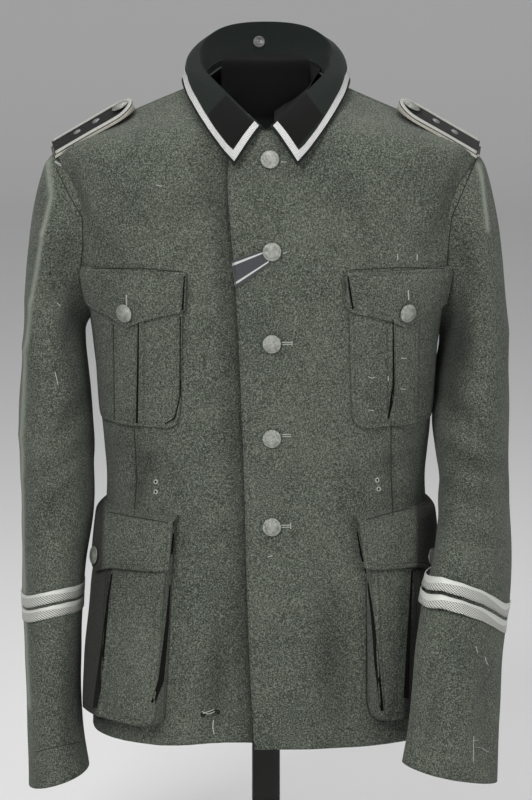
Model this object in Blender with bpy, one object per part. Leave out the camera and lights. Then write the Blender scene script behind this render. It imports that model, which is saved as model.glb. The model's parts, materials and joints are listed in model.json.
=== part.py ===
# Military field jacket on a limbless dress form, pole and round base.
# Metres, +Z up. The jacket faces -Y and the origin is under the middle of the base.
# The body cloth follows stacked superellipse sections. Every panel, pocket and flap
# is a grid of points on that surface, moved out by its own lift.

import bisect
import functools
import math

import bmesh
import bpy
import numpy as np
from mathutils import Matrix, Vector

for old_object in list(bpy.data.objects):
    bpy.data.objects.remove(old_object, do_unlink=True)

# Cloth thicknesses and the clearances between layers
WALL = 0.0020
LAYER_LIFT = 0.0008
SEAM_GAP = 0.0003
LAP_DEPTH = 0.0036

# Heights above the floor
HEM_Z = 0.160
ARMPIT_Z = 0.598
SHOULDER_TIP_Z = 0.772
THROAT_Z = 0.795
NECK_SIDE_Z = 0.841

# Body sections: height, half width, depth to the front, depth to the back
BODY_SECTIONS = {
    "z":     (0.150, 0.250, 0.330, 0.415, 0.500, 0.595, 0.620, 0.650, 0.710, 0.750, 0.772, 0.797,
              0.806, 0.813, 0.823, 0.833, 0.842, 0.850, 0.858),
    "width": (0.184, 0.181, 0.174, 0.1665, 0.174, 0.184, 0.193, 0.203, 0.214, 0.221, 0.224, 0.167,
              0.147, 0.131, 0.107, 0.084, 0.066, 0.0625, 0.060),
    "front": (0.136, 0.133, 0.127, 0.120, 0.123, 0.127, 0.1265, 0.125, 0.119, 0.109, 0.102, 0.0900,
              0.0745, 0.0640, 0.0500, 0.0340, 0.0200, 0.0150, 0.0120),
    "back":  (0.128, 0.124, 0.116, 0.106, 0.114, 0.125, 0.1255, 0.125, 0.121, 0.116, 0.112, 0.1020,
              0.0980, 0.0950, 0.0900, 0.0850, 0.0800, 0.0760, 0.0700),
}
SECTION_POWER = 2.3

# Neckline: half width of the neck hole at each height, front and back
FRONT_NECKLINE = {"x": (0.000, 0.014, 0.027, 0.040, 0.052, 0.061, 0.064),
                  "z": (0.795, 0.799, 0.805, 0.813, 0.823, 0.833, 0.841)}
BACK_NECKLINE = {"x": (0.000, 0.027, 0.047, 0.059, 0.064),
                 "z": (0.857, 0.856, 0.853, 0.848, 0.841)}

# Front edge of the lapping front, from hem to throat: height and place across
LAP_EDGE = {"z": (0.160, 0.273, 0.481, 0.638, 0.758, 0.800),
            "x": (-0.012, -0.018, -0.024, -0.031, -0.040, -0.030)}
UNDERLAP_X = 0.034

ARMHOLE_OPENING = math.radians(27)

# Sleeve sections: height, centre, half length of the long and the short way, the turn
# of the long way from the side towards the front, and how much lower the outside is
RIGHT_SLEEVE = {
    "z":     (0.560, 0.500, 0.440, 0.400, 0.359, 0.306, 0.243, 0.178, 0.113),
    "x":     (0.2225, 0.2200, 0.2190, 0.2185, 0.2205, 0.2240, 0.2240, 0.2225, 0.2180),
    "y":     (0.000, 0.000, -0.004, -0.008, -0.012, -0.018, -0.025, -0.032, -0.038),
    "long":  (0.078, 0.077, 0.075, 0.073, 0.069, 0.065, 0.062, 0.060, 0.058),
    "short": (0.0340, 0.0385, 0.0400, 0.0395, 0.0365, 0.0325, 0.0300, 0.0285, 0.0320),
    "turn":  (90, 90, 90, 90, 90, 90, 90, 90, 90),
    "drop":  (0.00, 0.05, 0.10, 0.12, 0.15, 0.20, 0.22, 0.24, 0.30),
}
LEFT_SLEEVE = {
    "z":     (0.560, 0.500, 0.442, 0.394, 0.346, 0.297, 0.247, 0.197, 0.143),
    "x":     (0.2220, 0.2175, 0.2165, 0.2165, 0.2150, 0.2040, 0.1975, 0.1950, 0.1890),
    "y":     (0.000, -0.005, -0.022, -0.050, -0.088, -0.110, -0.133, -0.148, -0.158),
    "long":  (0.078, 0.077, 0.074, 0.070, 0.065, 0.061, 0.058, 0.056, 0.056),
    "short": (0.0330, 0.0375, 0.0385, 0.0385, 0.0375, 0.0370, 0.0370, 0.0370, 0.0370),
    "turn":  (90, 90, 86, 80, 69, 61, 55, 52, 40),
    "drop":  (0.00, 0.05, 0.10, 0.18, 0.30, 0.38, 0.36, 0.32, 0.28),
}
SLEEVE_COLUMNS = 20
HEAD_ROWS = 6
SLEEVE_ROWS = 12

# Panel grids: turns round the body from the front middle, and rows and columns
SIDE = math.pi / 2
SEAM_TURN = math.radians(0.06)
LOWER_HEIGHTS = (HEM_Z, 0.190, 0.230, 0.275, 0.320, 0.365, 0.410, 0.455, 0.500, 0.550, ARMPIT_Z)
EDGE_ROWS = 8
NECK_ROWS = 7
FRONT_COLUMNS = 13

# Steps along a section when a distance round the cloth is measured, and the flap's outline
ARC_STEPS = 160
FLAP_SHARES = (0, 0.03, 0.15, 0.28, 0.40, 0.46, 0.5, 0.54, 0.60, 0.72, 0.85, 0.97, 1)
FLAP_STEPS = (0, 0.25, 0.5, 0.75, 0.86, 1)

# Collar, half of it from the back to the throat: neck seam, roll line and outer edge
COLLAR_STATIONS = {
    "roll_x": (0.000, 0.027, 0.050, 0.066, 0.070, 0.067, 0.0585, 0.0445, 0.0300, 0.0165, 0.0040),
    "roll_y": (0.079, 0.077, 0.068, 0.048, 0.022, -0.005, -0.0260, -0.0480, -0.0650, -0.0795, -0.0910),
    "roll_z": (0.897, 0.896, 0.891, 0.879, 0.866, 0.856, 0.8490, 0.8370, 0.8240, 0.8120, 0.8020),
    "edge_x": (0.000, 0.035, 0.066, 0.083, 0.0880, 0.0880, 0.0815, 0.0710, 0.0570, 0.0440, 0.0320),
    "edge_y": (0.088, 0.084, 0.068, 0.040, 0.013, -0.0130, -0.0370, -0.0700, -0.0985, -0.1120, -0.1175),
    "edge_z": (0.847, 0.846, 0.844, 0.843, 0.844, 0.8400, 0.8265, 0.8110, 0.7930, 0.7770, 0.7640),
}
COLLAR_WALL = 0.0016
STAND_LIFT = 0.0028
STAND_ROWS = 3
FALL_ROWS = 6

# Pockets and flaps: inner edge from the middle line, width round the cloth, heights
CHEST_POCKET = {"inner_top": 0.084, "inner_bottom": 0.088, "width": 0.124, "top": 0.644, "bottom": 0.492}
CHEST_FLAP = {"inner": 0.081, "width": 0.127, "top": 0.654, "side": 0.611, "point": 0.595}
HIP_POCKET = {"inner_top": 0.102, "inner_bottom": 0.106, "width": 0.172, "top": 0.390, "bottom": 0.190}
HIP_FLAP = {"inner": 0.099, "width": 0.178, "top": 0.402, "side": 0.349, "point": 0.334}
LEFT_HIP_WIDTH_SHARE = 0.88
CORNER_RADIUS = 0.012
PLEAT_HALF = 0.14
PLEAT_RAISE = 0.0026
BELLOWS_INNER = 0.024
BELLOWS_OUTER = {"right": 0.004, "left": 0.003}
BELLOWS_TOP_SHARE = 0.30
FLAP_WALL = 0.0020
FLAP_LIFT = 0.0014
FLAP_CLEAR = 0.0010

# Buttons: five down the front, height and place across
FRONT_BUTTONS = {"z": (0.768, 0.676, 0.582, 0.4835, 0.391),
                 "x": (0.004, 0.006, 0.006, 0.006, 0.006)}
BUTTON_RADIUS = 0.0095
BUTTON_LIFT = 0.0005
SHANK_RADIUS = 0.0032
SHANK_HEIGHT = 0.0018
BUTTON_RIM = 0.0016
BUTTON_DOME = 0.0034
BUTTON_SIDES = 10

# Shoulder boards
BOARD_OUTER_X = 0.217
BOARD_INNER_X = 0.128
BOARD_HALF_WIDTH = 0.0225
BOARD_WALL = 0.0035
BOARD_BRAID = 0.0060
BOARD_OUTER_Z = 0.7775
BOARD_FLAT_X = 0.200
BOARD_CENTRE_Y = -0.011
BOARD_LIFT = 0.0015
BOARD_BRAID_WALL = 0.0018

# Braid bands round the cuffs: height of each band's middle
CUFF_BANDS = {"right": (0.3000, 0.2845), "left": (0.3120, 0.2960)}
BAND_HALF_HEIGHT = 0.0062
BAND_WALL = 0.0010

# Ribbon end that leaves the front edge and passes under the second button
RIBBON = {"inner_top": (0.000, 0.6860), "inner_bottom": (0.000, 0.6700),
          "outer_top": (-0.0415, 0.6710), "outer_bottom": (-0.0370, 0.6400)}
RIBBON_WALL = 0.0005

# Dress form, pole and base
FORM_BOTTOM_Z = 0.300
FORM_CLEAR = 0.0075
FORM_SHOULDER_CLEAR = 0.0022
FORM_NECK_CLEAR = 0.0080
NECK_TOP_Z = 0.866
NECK_HALF_WIDTH = 0.047
NECK_HALF_DEPTH = 0.050
NECK_CENTRE_Y = -0.004
POLE_WIDTH = 0.030
BASE_RADIUS = 0.170
BASE_HEIGHT = 0.012


# Materials

def material(name, colour, roughness, metallic=0.0):
    finish = bpy.data.materials.new(name)
    finish.use_nodes = True
    shader = finish.node_tree.nodes["Principled BSDF"]
    shader.inputs["Base Color"].default_value = (*colour, 1.0)
    shader.inputs["Roughness"].default_value = roughness
    shader.inputs["Metallic"].default_value = metallic
    return finish


WOOL = material("grey_green_wool", (0.085, 0.098, 0.080), 0.95)
COLLAR_CLOTH = material("dark_green_badge_cloth", (0.016, 0.020, 0.018), 0.95)
SILVER_BRAID = material("silver_braid", (0.52, 0.52, 0.48), 0.55, 0.3)
BUTTON_METAL = material("grey_button_metal", (0.31, 0.33, 0.30), 0.45, 0.8)
RIBBON_SILK = material("striped_ribbon", (0.030, 0.030, 0.030), 0.7)
FORM_CLOTH = material("black_form_cover", (0.004, 0.004, 0.005), 0.9)
STAND_METAL = material("dark_stand_metal", (0.014, 0.014, 0.013), 0.5, 0.6)


# Curves through the columns of a table

@functools.lru_cache(maxsize=None)
def tangents_of(xs, ys):
    """Slopes at the points of a curve that never overshoots them."""
    slopes = [(ys[i + 1] - ys[i]) / (xs[i + 1] - xs[i]) for i in range(len(xs) - 1)]
    inner = [2 * a * b / (a + b) if a * b > 0 else 0.0 for a, b in zip(slopes, slopes[1:])]
    return [slopes[0]] + inner + [slopes[-1]]


def through(xs, ys, x):
    """Value at x of a smooth curve through the points that never overshoots them."""
    tangents = tangents_of(tuple(xs), tuple(ys))
    x = min(max(x, xs[0]), xs[-1])
    i = min(bisect.bisect_right(xs, x) - 1, len(xs) - 2)
    step = xs[i + 1] - xs[i]
    s = (x - xs[i]) / step
    return ((2 * s**3 - 3 * s**2 + 1) * ys[i] + (s**3 - 2 * s**2 + s) * step * tangents[i]
            + (3 * s**2 - 2 * s**3) * ys[i + 1] + (s**3 - s**2) * step * tangents[i + 1])


def falling(table, column, z):
    """Value of a sleeve column at height z; the table runs from the top down."""
    return through(table["z"][::-1], table[column][::-1], z)


def smooth(value):
    value = min(max(value, 0.0), 1.0)
    return value * value * (3 - 2 * value)


def power_cos(angle, power=SECTION_POWER):
    return math.copysign(abs(math.cos(angle)) ** (2 / power), math.cos(angle))


def power_sin(angle, power=SECTION_POWER):
    return math.copysign(abs(math.sin(angle)) ** (2 / power), math.sin(angle))


# The body surface: turn is the angle from the centre front, + towards +X

def on_body(turn, z):
    width = through(BODY_SECTIONS["z"], BODY_SECTIONS["width"], z)
    side = "front" if math.cos(turn) >= 0 else "back"
    depth = through(BODY_SECTIONS["z"], BODY_SECTIONS[side], z)
    return Vector((width * power_sin(turn), -depth * power_cos(turn), z))


def body(turn, z, out=0.0):
    """Point of the body surface, moved out along the surface's own normal."""
    point = on_body(turn, z)
    if out == 0.0:
        return point
    step = 0.004
    across = on_body(turn + 0.02, z) - on_body(turn - 0.02, z)
    up = on_body(turn, min(z + step, BODY_SECTIONS["z"][-1])) - on_body(turn, z - step)
    return point + across.cross(up).normalized() * out


def turn_at(x, z):
    """Turn of the front surface where it is x from the middle at height z."""
    width = through(BODY_SECTIONS["z"], BODY_SECTIONS["width"], z)
    share = min(abs(x) / width, 1.0)
    return math.copysign(math.asin(share ** (SECTION_POWER / 2)), x)


def armhole(angle, back=False):
    """Turn and height on the +X armhole; angle 0 is the shoulder tip, pi the armpit."""
    middle = (SHOULDER_TIP_Z + ARMPIT_Z) / 2
    half = (SHOULDER_TIP_Z - ARMPIT_Z) / 2
    z = middle + half * math.cos(angle)
    opening = ARMHOLE_OPENING * abs(math.sin(angle)) * (1 + 0.3 * math.cos(angle))
    return math.pi / 2 + (opening if back else -opening), z


# Objects

def finish_object(name, mesh, finish):
    mesh.materials.append(finish)
    mesh.shade_smooth()
    mesh.set_sharp_from_angle(angle=math.radians(40))
    made = bpy.data.objects.new(name, mesh)
    bpy.context.scene.collection.objects.link(made)
    return made


def moved(rows, distance, closed=False):
    """The same grid moved along its own normals, out of the cloth's outer face."""
    count = len(rows)
    columns = len(rows[0])
    result = []
    for i in range(count):
        result.append([])
        for j in range(columns):
            before = (j - 1) % columns if closed else max(j - 1, 0)
            after = (j + 1) % columns if closed else min(j + 1, columns - 1)
            across = rows[i][after] - rows[i][before]
            up = rows[min(i + 1, count - 1)][j] - rows[max(i - 1, 0)][j]
            result[i].append(rows[i][j] + across.cross(up).normalized() * distance)
    return result


def cloth(name, outer, inner, finish, closed=False):
    """A cloth wall between two grids of points, with a rim along each open edge."""
    shape = bmesh.new()
    face = [[shape.verts.new(point) for point in row] for row in outer]
    lining = [[shape.verts.new(point) for point in row] for row in inner]
    rows = len(outer)
    columns = len(outer[0])
    last = columns if closed else columns - 1
    for i in range(rows - 1):
        for j in range(last):
            k = (j + 1) % columns
            shape.faces.new((face[i][j], face[i][k], face[i + 1][k], face[i + 1][j]))
            shape.faces.new((lining[i][j], lining[i + 1][j], lining[i + 1][k], lining[i][k]))
    for j in range(last):
        k = (j + 1) % columns
        shape.faces.new((face[0][k], face[0][j], lining[0][j], lining[0][k]))
        shape.faces.new((face[-1][j], face[-1][k], lining[-1][k], lining[-1][j]))
    if not closed:
        for i in range(rows - 1):
            shape.faces.new((face[i][0], face[i + 1][0], lining[i + 1][0], lining[i][0]))
            shape.faces.new((face[i + 1][-1], face[i][-1], lining[i][-1], lining[i + 1][-1]))
    mesh = bpy.data.meshes.new(name)
    shape.to_mesh(mesh)
    shape.free()
    return finish_object(name, mesh, finish)


def lofted(name, rings, finish):
    """A closed solid through rings of points, capped at both ends, lowest ring first."""
    shape = bmesh.new()
    loops = [[shape.verts.new(point) for point in ring] for ring in rings]
    count = len(rings[0])
    for low, high in zip(loops, loops[1:]):
        for j in range(count):
            k = (j + 1) % count
            shape.faces.new((low[j], low[k], high[k], high[j]))
    shape.faces.new(loops[0][::-1])
    shape.faces.new(loops[-1])
    bmesh.ops.recalc_face_normals(shape, faces=shape.faces)
    mesh = bpy.data.meshes.new(name)
    shape.to_mesh(mesh)
    shape.free()
    return finish_object(name, mesh, finish)


def turned(name, profile, place, axis, finish, sides=BUTTON_SIDES):
    """A round solid: the profile's radii and heights turned about an axis."""
    shape = bmesh.new()
    points = [shape.verts.new((radius, 0, height)) for radius, height in profile]
    edges = [shape.edges.new(pair) for pair in zip(points, points[1:])]
    bmesh.ops.spin(shape, geom=points + edges, axis=(0, 0, 1), cent=(0, 0, 0),
                   angle=2 * math.pi, steps=sides, use_merge=True)
    bmesh.ops.remove_doubles(shape, verts=shape.verts, dist=0.00005)
    bmesh.ops.recalc_face_normals(shape, faces=shape.faces)
    upright = Vector((0, 0, 1)).rotation_difference(axis).to_matrix().to_4x4()
    bmesh.ops.transform(shape, matrix=Matrix.Translation(place) @ upright, verts=shape.verts)
    mesh = bpy.data.meshes.new(name)
    shape.to_mesh(mesh)
    shape.free()
    return finish_object(name, mesh, finish)


def button(name, place, axis, radius=BUTTON_RADIUS, finish=BUTTON_METAL, shank=SHANK_HEIGHT):
    scale = radius / BUTTON_RADIUS
    rim_top = shank + BUTTON_RIM * scale
    top = shank + BUTTON_DOME * scale
    profile = [(0, 0), (SHANK_RADIUS * scale, 0), (SHANK_RADIUS * scale, shank),
               (radius * 0.94, shank), (radius, (shank + rim_top) / 2), (radius * 0.93, rim_top),
               (radius * 0.62, top - 0.0006 * scale), (0, top)]
    return turned(name, profile, place, axis, finish)


# Body panels

def spaced(start, end, count):
    return [start + (end - start) * i / (count - 1) for i in range(count)]


def patch(left, right, bottom, top):
    """Grid of (turn, height) pairs filled in between four edges of such pairs."""
    rows = []
    for i, v in enumerate(spaced(0, 1, len(left))):
        row = []
        for j, u in enumerate(spaced(0, 1, len(bottom))):
            pair = []
            for axis in (0, 1):
                sides = (1 - u) * left[i][axis] + u * right[i][axis]
                ends = (1 - v) * bottom[j][axis] + v * top[j][axis]
                corners = ((1 - u) * (1 - v) * bottom[0][axis] + u * (1 - v) * bottom[-1][axis]
                           + (1 - u) * v * top[0][axis] + u * v * top[-1][axis])
                pair.append(sides + ends - corners)
            row.append(tuple(pair))
        rows.append(row)
    return rows


def front_grid(edge_x):
    """Pairs (turn, height) of a +X front whose inner edge is edge_x(height)."""
    seam = SIDE - SEAM_TURN
    lower = []
    for z in LOWER_HEIGHTS:
        lower.append([(turn, z) for turn in spaced(turn_at(edge_x(z), z), seam, FRONT_COLUMNS)])
    throat = THROAT_Z + 0.002
    inner = [(turn_at(edge_x(z), z), z) for z in spaced(ARMPIT_Z, throat, EDGE_ROWS)]
    start = edge_x(throat)
    for step in spaced(0, 1, NECK_ROWS + 1)[1:]:
        x = start + (FRONT_NECKLINE["x"][-1] - start) * step
        z = through(FRONT_NECKLINE["x"], FRONT_NECKLINE["z"], abs(x))
        inner.append((turn_at(x, z), max(z, throat)))
    inner[-1] = (seam, NECK_SIDE_Z)
    outer = [armhole(angle) for angle in spaced(math.pi, 0, len(inner))]
    outer = [(min(turn, seam), z) for turn, z in outer]
    top = [(seam, z) for z in spaced(NECK_SIDE_Z, SHOULDER_TIP_Z, FRONT_COLUMNS)]
    upper = patch(inner, outer, lower[-1], top)
    return lower + upper[1:]


def lap_edge(z):
    return through(LAP_EDGE["z"], LAP_EDGE["x"], z)


def underlap_edge(z):
    return -UNDERLAP_X


def build_left_front():
    pairs = front_grid(lap_edge)
    outer = [[body(turn, z) for turn, z in row] for row in pairs]
    inner = [[body(turn, z, -WALL) for turn, z in row] for row in pairs]
    cloth("front_left", outer, inner, WOOL)


def build_right_front():
    """The right front dips under the left one near the middle."""
    pairs = [[(-turn, z) for turn, z in reversed(row)] for row in front_grid(underlap_edge)]

    def dip(turn, z):
        return -LAP_DEPTH * smooth((on_body(turn, z).x + 0.085) / 0.035)

    outer = [[body(turn, z, dip(turn, z)) for turn, z in row] for row in pairs]
    inner = [[body(turn, z, dip(turn, z) - WALL) for turn, z in row] for row in pairs]
    cloth("front_right", outer, inner, WOOL)


def build_back():
    shoulder = 7
    neck = 9
    columns = 2 * shoulder + neck - 2
    seam = SIDE + SEAM_TURN
    far_seam = 3 * SIDE - SEAM_TURN
    lower = [[(turn, z) for turn in spaced(seam, far_seam, columns)] for z in LOWER_HEIGHTS]
    left = [armhole(angle, back=True) for angle in spaced(math.pi, 0, EDGE_ROWS + NECK_ROWS)]
    left = [(max(turn, seam), z) for turn, z in left]
    right = [(4 * SIDE - turn, z) for turn, z in left]
    top = [(seam, z) for z in spaced(SHOULDER_TIP_Z, NECK_SIDE_Z, shoulder)]
    for x in spaced(BACK_NECKLINE["x"][-1], -BACK_NECKLINE["x"][-1], neck)[1:-1]:
        z = through(BACK_NECKLINE["x"], BACK_NECKLINE["z"], abs(x))
        top.append((2 * SIDE - turn_at(x, z), z))
    top += [(far_seam, z) for z in spaced(NECK_SIDE_Z, SHOULDER_TIP_Z, shoulder)]
    pairs = lower + patch(left, right, lower[-1], top)[1:]
    outer = [[body(turn, z) for turn, z in row] for row in pairs]
    inner = [[body(turn, z, -WALL) for turn, z in row] for row in pairs]
    cloth("back", outer, inner, WOOL)


# Sleeves: rows fan from the armhole to the upper arm, then follow the table to the cuff

def sleeve_ring(table, side, z, columns=SLEEVE_COLUMNS, out=0.0):
    """Points of a sleeve section; the first is the outside, the next ones go to the front."""
    centre = Vector((falling(table, "x", z), falling(table, "y", z), 0))
    tilt = math.radians(falling(table, "turn", z))
    long_way = Vector((-math.cos(tilt), -math.sin(tilt), 0))
    short_way = Vector((math.sin(tilt), -math.cos(tilt), 0))
    long_half = falling(table, "long", z) + out
    short_half = falling(table, "short", z) + out
    drop = falling(table, "drop", z)
    ring = []
    for j in range(columns):
        angle = 2 * math.pi * j / columns
        step = (short_way * short_half * power_cos(angle, 2.2)
                + long_way * long_half * power_sin(angle, 2.2))
        point = centre + step
        ring.append(Vector((side * point.x, point.y, z - drop * step.x)))
    return ring


def armhole_ring(side, columns=SLEEVE_COLUMNS):
    ring = []
    for j in range(columns):
        angle = 2 * math.pi * j / columns
        turn, z = armhole(angle, back=angle > math.pi)
        point = body(turn, z)
        ring.append(Vector((side * point.x, point.y, point.z)))
    return ring


def sleeve_rows(table, side, out=0.0):
    start = armhole_ring(side)
    end = sleeve_ring(table, side, table["z"][0], out=out)
    rows = []
    for s in spaced(0, 1, HEAD_ROWS + 1)[:-1]:
        row = []
        for j, (first, last) in enumerate(zip(start, end)):
            angle = 2 * math.pi * j / SLEEVE_COLUMNS
            reach = (last - first).length
            top = 0.5 + 0.5 * math.cos(angle)
            leave = Vector((side * (0.75 - 0.25 * top), 0.28 * -math.sin(angle),
                            -0.55 - 0.35 * top)).normalized()
            if abs(math.sin(angle)) < 0.01 and math.cos(angle) < 0:
                leave = Vector((side * 0.25, 0, -1)).normalized()
            leave *= reach
            arrive = Vector((0, 0, -1)) * reach
            point = ((2 * s**3 - 3 * s**2 + 1) * first + (s**3 - 2 * s**2 + s) * leave
                     + (3 * s**2 - 2 * s**3) * last + (s**3 - s**2) * arrive)
            row.append(point)
        rows.append(row)
    shift = [(b - a).normalized() * 2 * SEAM_GAP for a, b in zip(rows[0], rows[1])]
    rows[0] = [point + step for point, step in zip(rows[0], shift)]
    for z in spaced(table["z"][0], table["z"][-1], SLEEVE_ROWS):
        rows.append(sleeve_ring(table, side, z, out=out))
    return rows


def build_sleeve(name, table, side):
    rows = sleeve_rows(table, side)
    if side < 0:
        rows = [row[::-1] for row in rows]
    inner = moved(rows, -WALL, closed=True)
    cloth(name, rows, inner, WOOL, closed=True)


# Collar: the stand rises from the neckline, rolls over and falls outside to the leaf edge

def neckline(share):
    """Point of the +X half of the neckline; share runs from the back (0) to the throat (1)."""
    if share <= 0.45:
        x = BACK_NECKLINE["x"][-1] * math.sin(share / 0.45 * SIDE)
        z = through(BACK_NECKLINE["x"], BACK_NECKLINE["z"], x)
        turn = 2 * SIDE - turn_at(x, z)
    else:
        x = FRONT_NECKLINE["x"][-1] * math.cos((share - 0.45) / 0.55 * SIDE)
        z = through(FRONT_NECKLINE["x"], FRONT_NECKLINE["z"], x)
        turn = turn_at(x, z)
    if abs(share - 0.45) < 0.04:
        turn = SIDE
    return body(turn, z) + Vector((0, 0, STAND_LIFT))


def collar_station(k):
    """One cut through the collar at station k: points from neck seam over the roll to the edge."""
    table = COLLAR_STATIONS
    count = len(table["roll_x"])
    seam = neckline(k / (count - 1))
    roll = Vector((table["roll_x"][k], table["roll_y"][k], table["roll_z"][k]))
    edge = Vector((table["edge_x"][k], table["edge_y"][k], table["edge_z"][k]))
    out = Vector((edge.x, edge.y, 0)).normalized()
    height = max(roll.z - seam.z, 0.0)
    ease = min(height / 0.025, 1.0)
    points = []
    for s in spaced(0, 1, STAND_ROWS + 1)[:-1]:
        lean = out * (0.002 * ease * math.sin(math.pi * s))
        points.append(seam.lerp(roll - Vector((0, 0, 0.0025 * ease)), s) + lean)
    points.append(roll + out * 0.0005)
    bulge = 0.0052 * ease + 0.0022
    for s in spaced(0, 1, FALL_ROWS + 1)[1:]:
        swell = out * bulge * math.sin(math.pi * min(s * 1.15, 1.0) ** 0.6)
        points.append((roll + out * 0.0045 * ease).lerp(edge, s) + swell)
    return points


def collar_grid():
    half = [collar_station(k) for k in range(len(COLLAR_STATIONS["roll_x"]))]
    left = [[Vector((-p.x, p.y, p.z)) for p in station] for station in half[:0:-1]]
    return [list(row) for row in zip(*(left + half))]


def build_collar():
    rows = collar_grid()
    cloth("collar", rows, moved(rows, -COLLAR_WALL), COLLAR_CLOTH)


# Pockets and flaps, laid on the front by distances round the cloth


def turn_after(x, z, distance):
    """Turn reached from x by going a distance round the section at height z."""
    turns = [turn_at(x, z) + 1.9 * i / ARC_STEPS for i in range(ARC_STEPS + 1)]
    points = [on_body(turn, z) for turn in turns]
    lengths = np.cumsum([0.0] + [(b - a).length for a, b in zip(points, points[1:])])
    return float(np.interp(distance, lengths, turns))


def on_side(side, rows):
    """The +X rows as they are, or mirrored with each row reversed for the -X side."""
    if side > 0:
        return rows
    return [[Vector((-p.x, p.y, p.z)) for p in reversed(row)] for row in rows]


def pocket_rows(spec, heights, shares, width):
    """Pairs (turn, height) of a pocket with rounded lower corners."""
    rows = []
    for z in heights:
        rise = (z - spec["bottom"]) / (spec["top"] - spec["bottom"])
        inner = spec["inner_bottom"] + (spec["inner_top"] - spec["inner_bottom"]) * rise
        low = CORNER_RADIUS - (z - spec["bottom"])
        inset = CORNER_RADIUS - math.sqrt(CORNER_RADIUS**2 - max(low, 0.0) ** 2)
        span = width - 2 * inset
        rows.append([(turn_after(inner, z, inset + span * share), z) for share in shares])
    return rows


def build_chest_pocket(name, side):
    edge = 0.012
    shares = [0, 0.12, 0.25, 0.5 - PLEAT_HALF - edge, 0.5 - PLEAT_HALF, 0.5 - 0.06, 0.5 + 0.06,
              0.5 + PLEAT_HALF, 0.5 + PLEAT_HALF + edge, 0.75, 0.88, 1]
    heights = [CHEST_POCKET["bottom"] + CORNER_RADIUS * step for step in (0, 0.25, 1)]
    heights += spaced(heights[-1], CHEST_POCKET["top"], 9)[1:]
    pairs = pocket_rows(CHEST_POCKET, heights, shares, CHEST_POCKET["width"])
    outer = []
    for row in pairs:
        lifts = [LAYER_LIFT + WALL + (PLEAT_RAISE if abs(share - 0.5) < PLEAT_HALF + 0.005 else 0)
                 for share in shares]
        outer.append([body(turn, z, lift) for (turn, z), lift in zip(row, lifts)])
    inner = [[body(turn, z, LAYER_LIFT) for turn, z in row] for row in pairs]
    cloth(name, on_side(side, outer), on_side(side, inner), WOOL)


def bellows(share, rise, outer):
    """How far a hip pocket stands off the body; rise runs from its bottom to its top."""
    depth = BELLOWS_INNER + (outer - BELLOWS_INNER) * smooth(share)
    return depth * (BELLOWS_TOP_SHARE + (1 - BELLOWS_TOP_SHARE) * (1 - max(rise, 0.0)) ** 0.8)


def build_hip_pocket(name, side, width, stand_out):
    shares = [0, 0.012, 0.10, 0.22, 0.5 - PLEAT_HALF - 0.012, 0.5 - PLEAT_HALF, 0.5,
              0.5 + PLEAT_HALF, 0.5 + PLEAT_HALF + 0.012, 0.78, 0.90, 0.988, 1]
    heights = [HIP_POCKET["bottom"] + CORNER_RADIUS * step for step in (0, 0.12, 0.5, 1)]
    heights += spaced(heights[-1], HIP_POCKET["top"], 10)[1:]
    pairs = pocket_rows(HIP_POCKET, heights, shares, width)
    rows = []
    for i, row in enumerate(pairs):
        points = []
        for (turn, z), share in zip(row, shares):
            rise = (z - HIP_POCKET["bottom"]) / (HIP_POCKET["top"] - HIP_POCKET["bottom"])
            lift = LAYER_LIFT + WALL + bellows(share, rise, stand_out)
            lift += PLEAT_RAISE if abs(share - 0.5) < PLEAT_HALF + 0.005 else 0
            on_edge = i == 0 or share in (0, 1)
            points.append(body(turn, z, LAYER_LIFT if on_edge else lift))
        rows.append(points)
    inner = moved(rows, -WALL)
    for i, row in enumerate(inner):
        for j, point in enumerate(row):
            if i == 0 or j in (0, len(row) - 1):
                turn, z = pairs[i][j]
                centre_turn = pairs[i][len(row) // 2][0]
                step = 0.014 * math.copysign(1, centre_turn - turn) if j in (0, len(row) - 1) else 0
                up = WALL if i == 0 else 0
                row[j] = body(turn + step, z + up, LAYER_LIFT)
    cloth(name, on_side(side, rows), on_side(side, inner), WOOL)


def flap_outline(spec, width, shares, steps):
    """Pairs (turn, height) from the scalloped lower edge up to the straight top."""
    rows = []
    for step in steps:
        row = []
        for share in shares:
            point = (1 - abs(2 * share - 1)) ** 2.2
            corner = 0.006 * max(abs(2 * share - 1) - 0.9, 0) / 0.1
            low = spec["side"] + (spec["point"] - spec["side"]) * point + corner
            z = low + (spec["top"] - low) * step
            row.append((turn_after(spec["inner"], z, width * share), z))
        rows.append(row)
    return rows


def build_flap(name, side, spec, width, stand_off):
    """stand_off(share, z) is how far the pocket's face lies outside the body there."""
    pairs = flap_outline(spec, width, FLAP_SHARES, FLAP_STEPS)
    outer = []
    inner = []
    for row, step in zip(pairs, FLAP_STEPS):
        top = smooth((step - 0.86) / 0.14)
        lifts = [FLAP_LIFT + (stand_off(share, z) + FLAP_CLEAR) * (1 - top)
                 for (turn, z), share in zip(row, FLAP_SHARES)]
        inner.append([body(turn, z, lift) for (turn, z), lift in zip(row, lifts)])
        outer.append([body(turn, z, lift + FLAP_WALL) for (turn, z), lift in zip(row, lifts)])
    cloth(name, on_side(side, outer), on_side(side, inner), WOOL)


def chest_stand_off(share, z):
    return WALL + PLEAT_RAISE * smooth((PLEAT_HALF + 0.10 - abs(share - 0.5)) / 0.08)


def hip_stand_off(stand_out):
    def depth(share, z):
        rise = (z - HIP_POCKET["bottom"]) / (HIP_POCKET["top"] - HIP_POCKET["bottom"])
        return WALL + bellows(share, min(rise, 1.0), stand_out) + PLEAT_RAISE
    return depth


# Buttons

def surface_axis(turn, z):
    return (body(turn, z, 0.001) - body(turn, z)).normalized()


def build_button_on(name, side, turn, z, lift, radius=BUTTON_RADIUS):
    place = body(turn, z, lift)
    axis = surface_axis(turn, z)
    place.x *= side
    axis.x *= side
    button(name, place, axis, radius)


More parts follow.
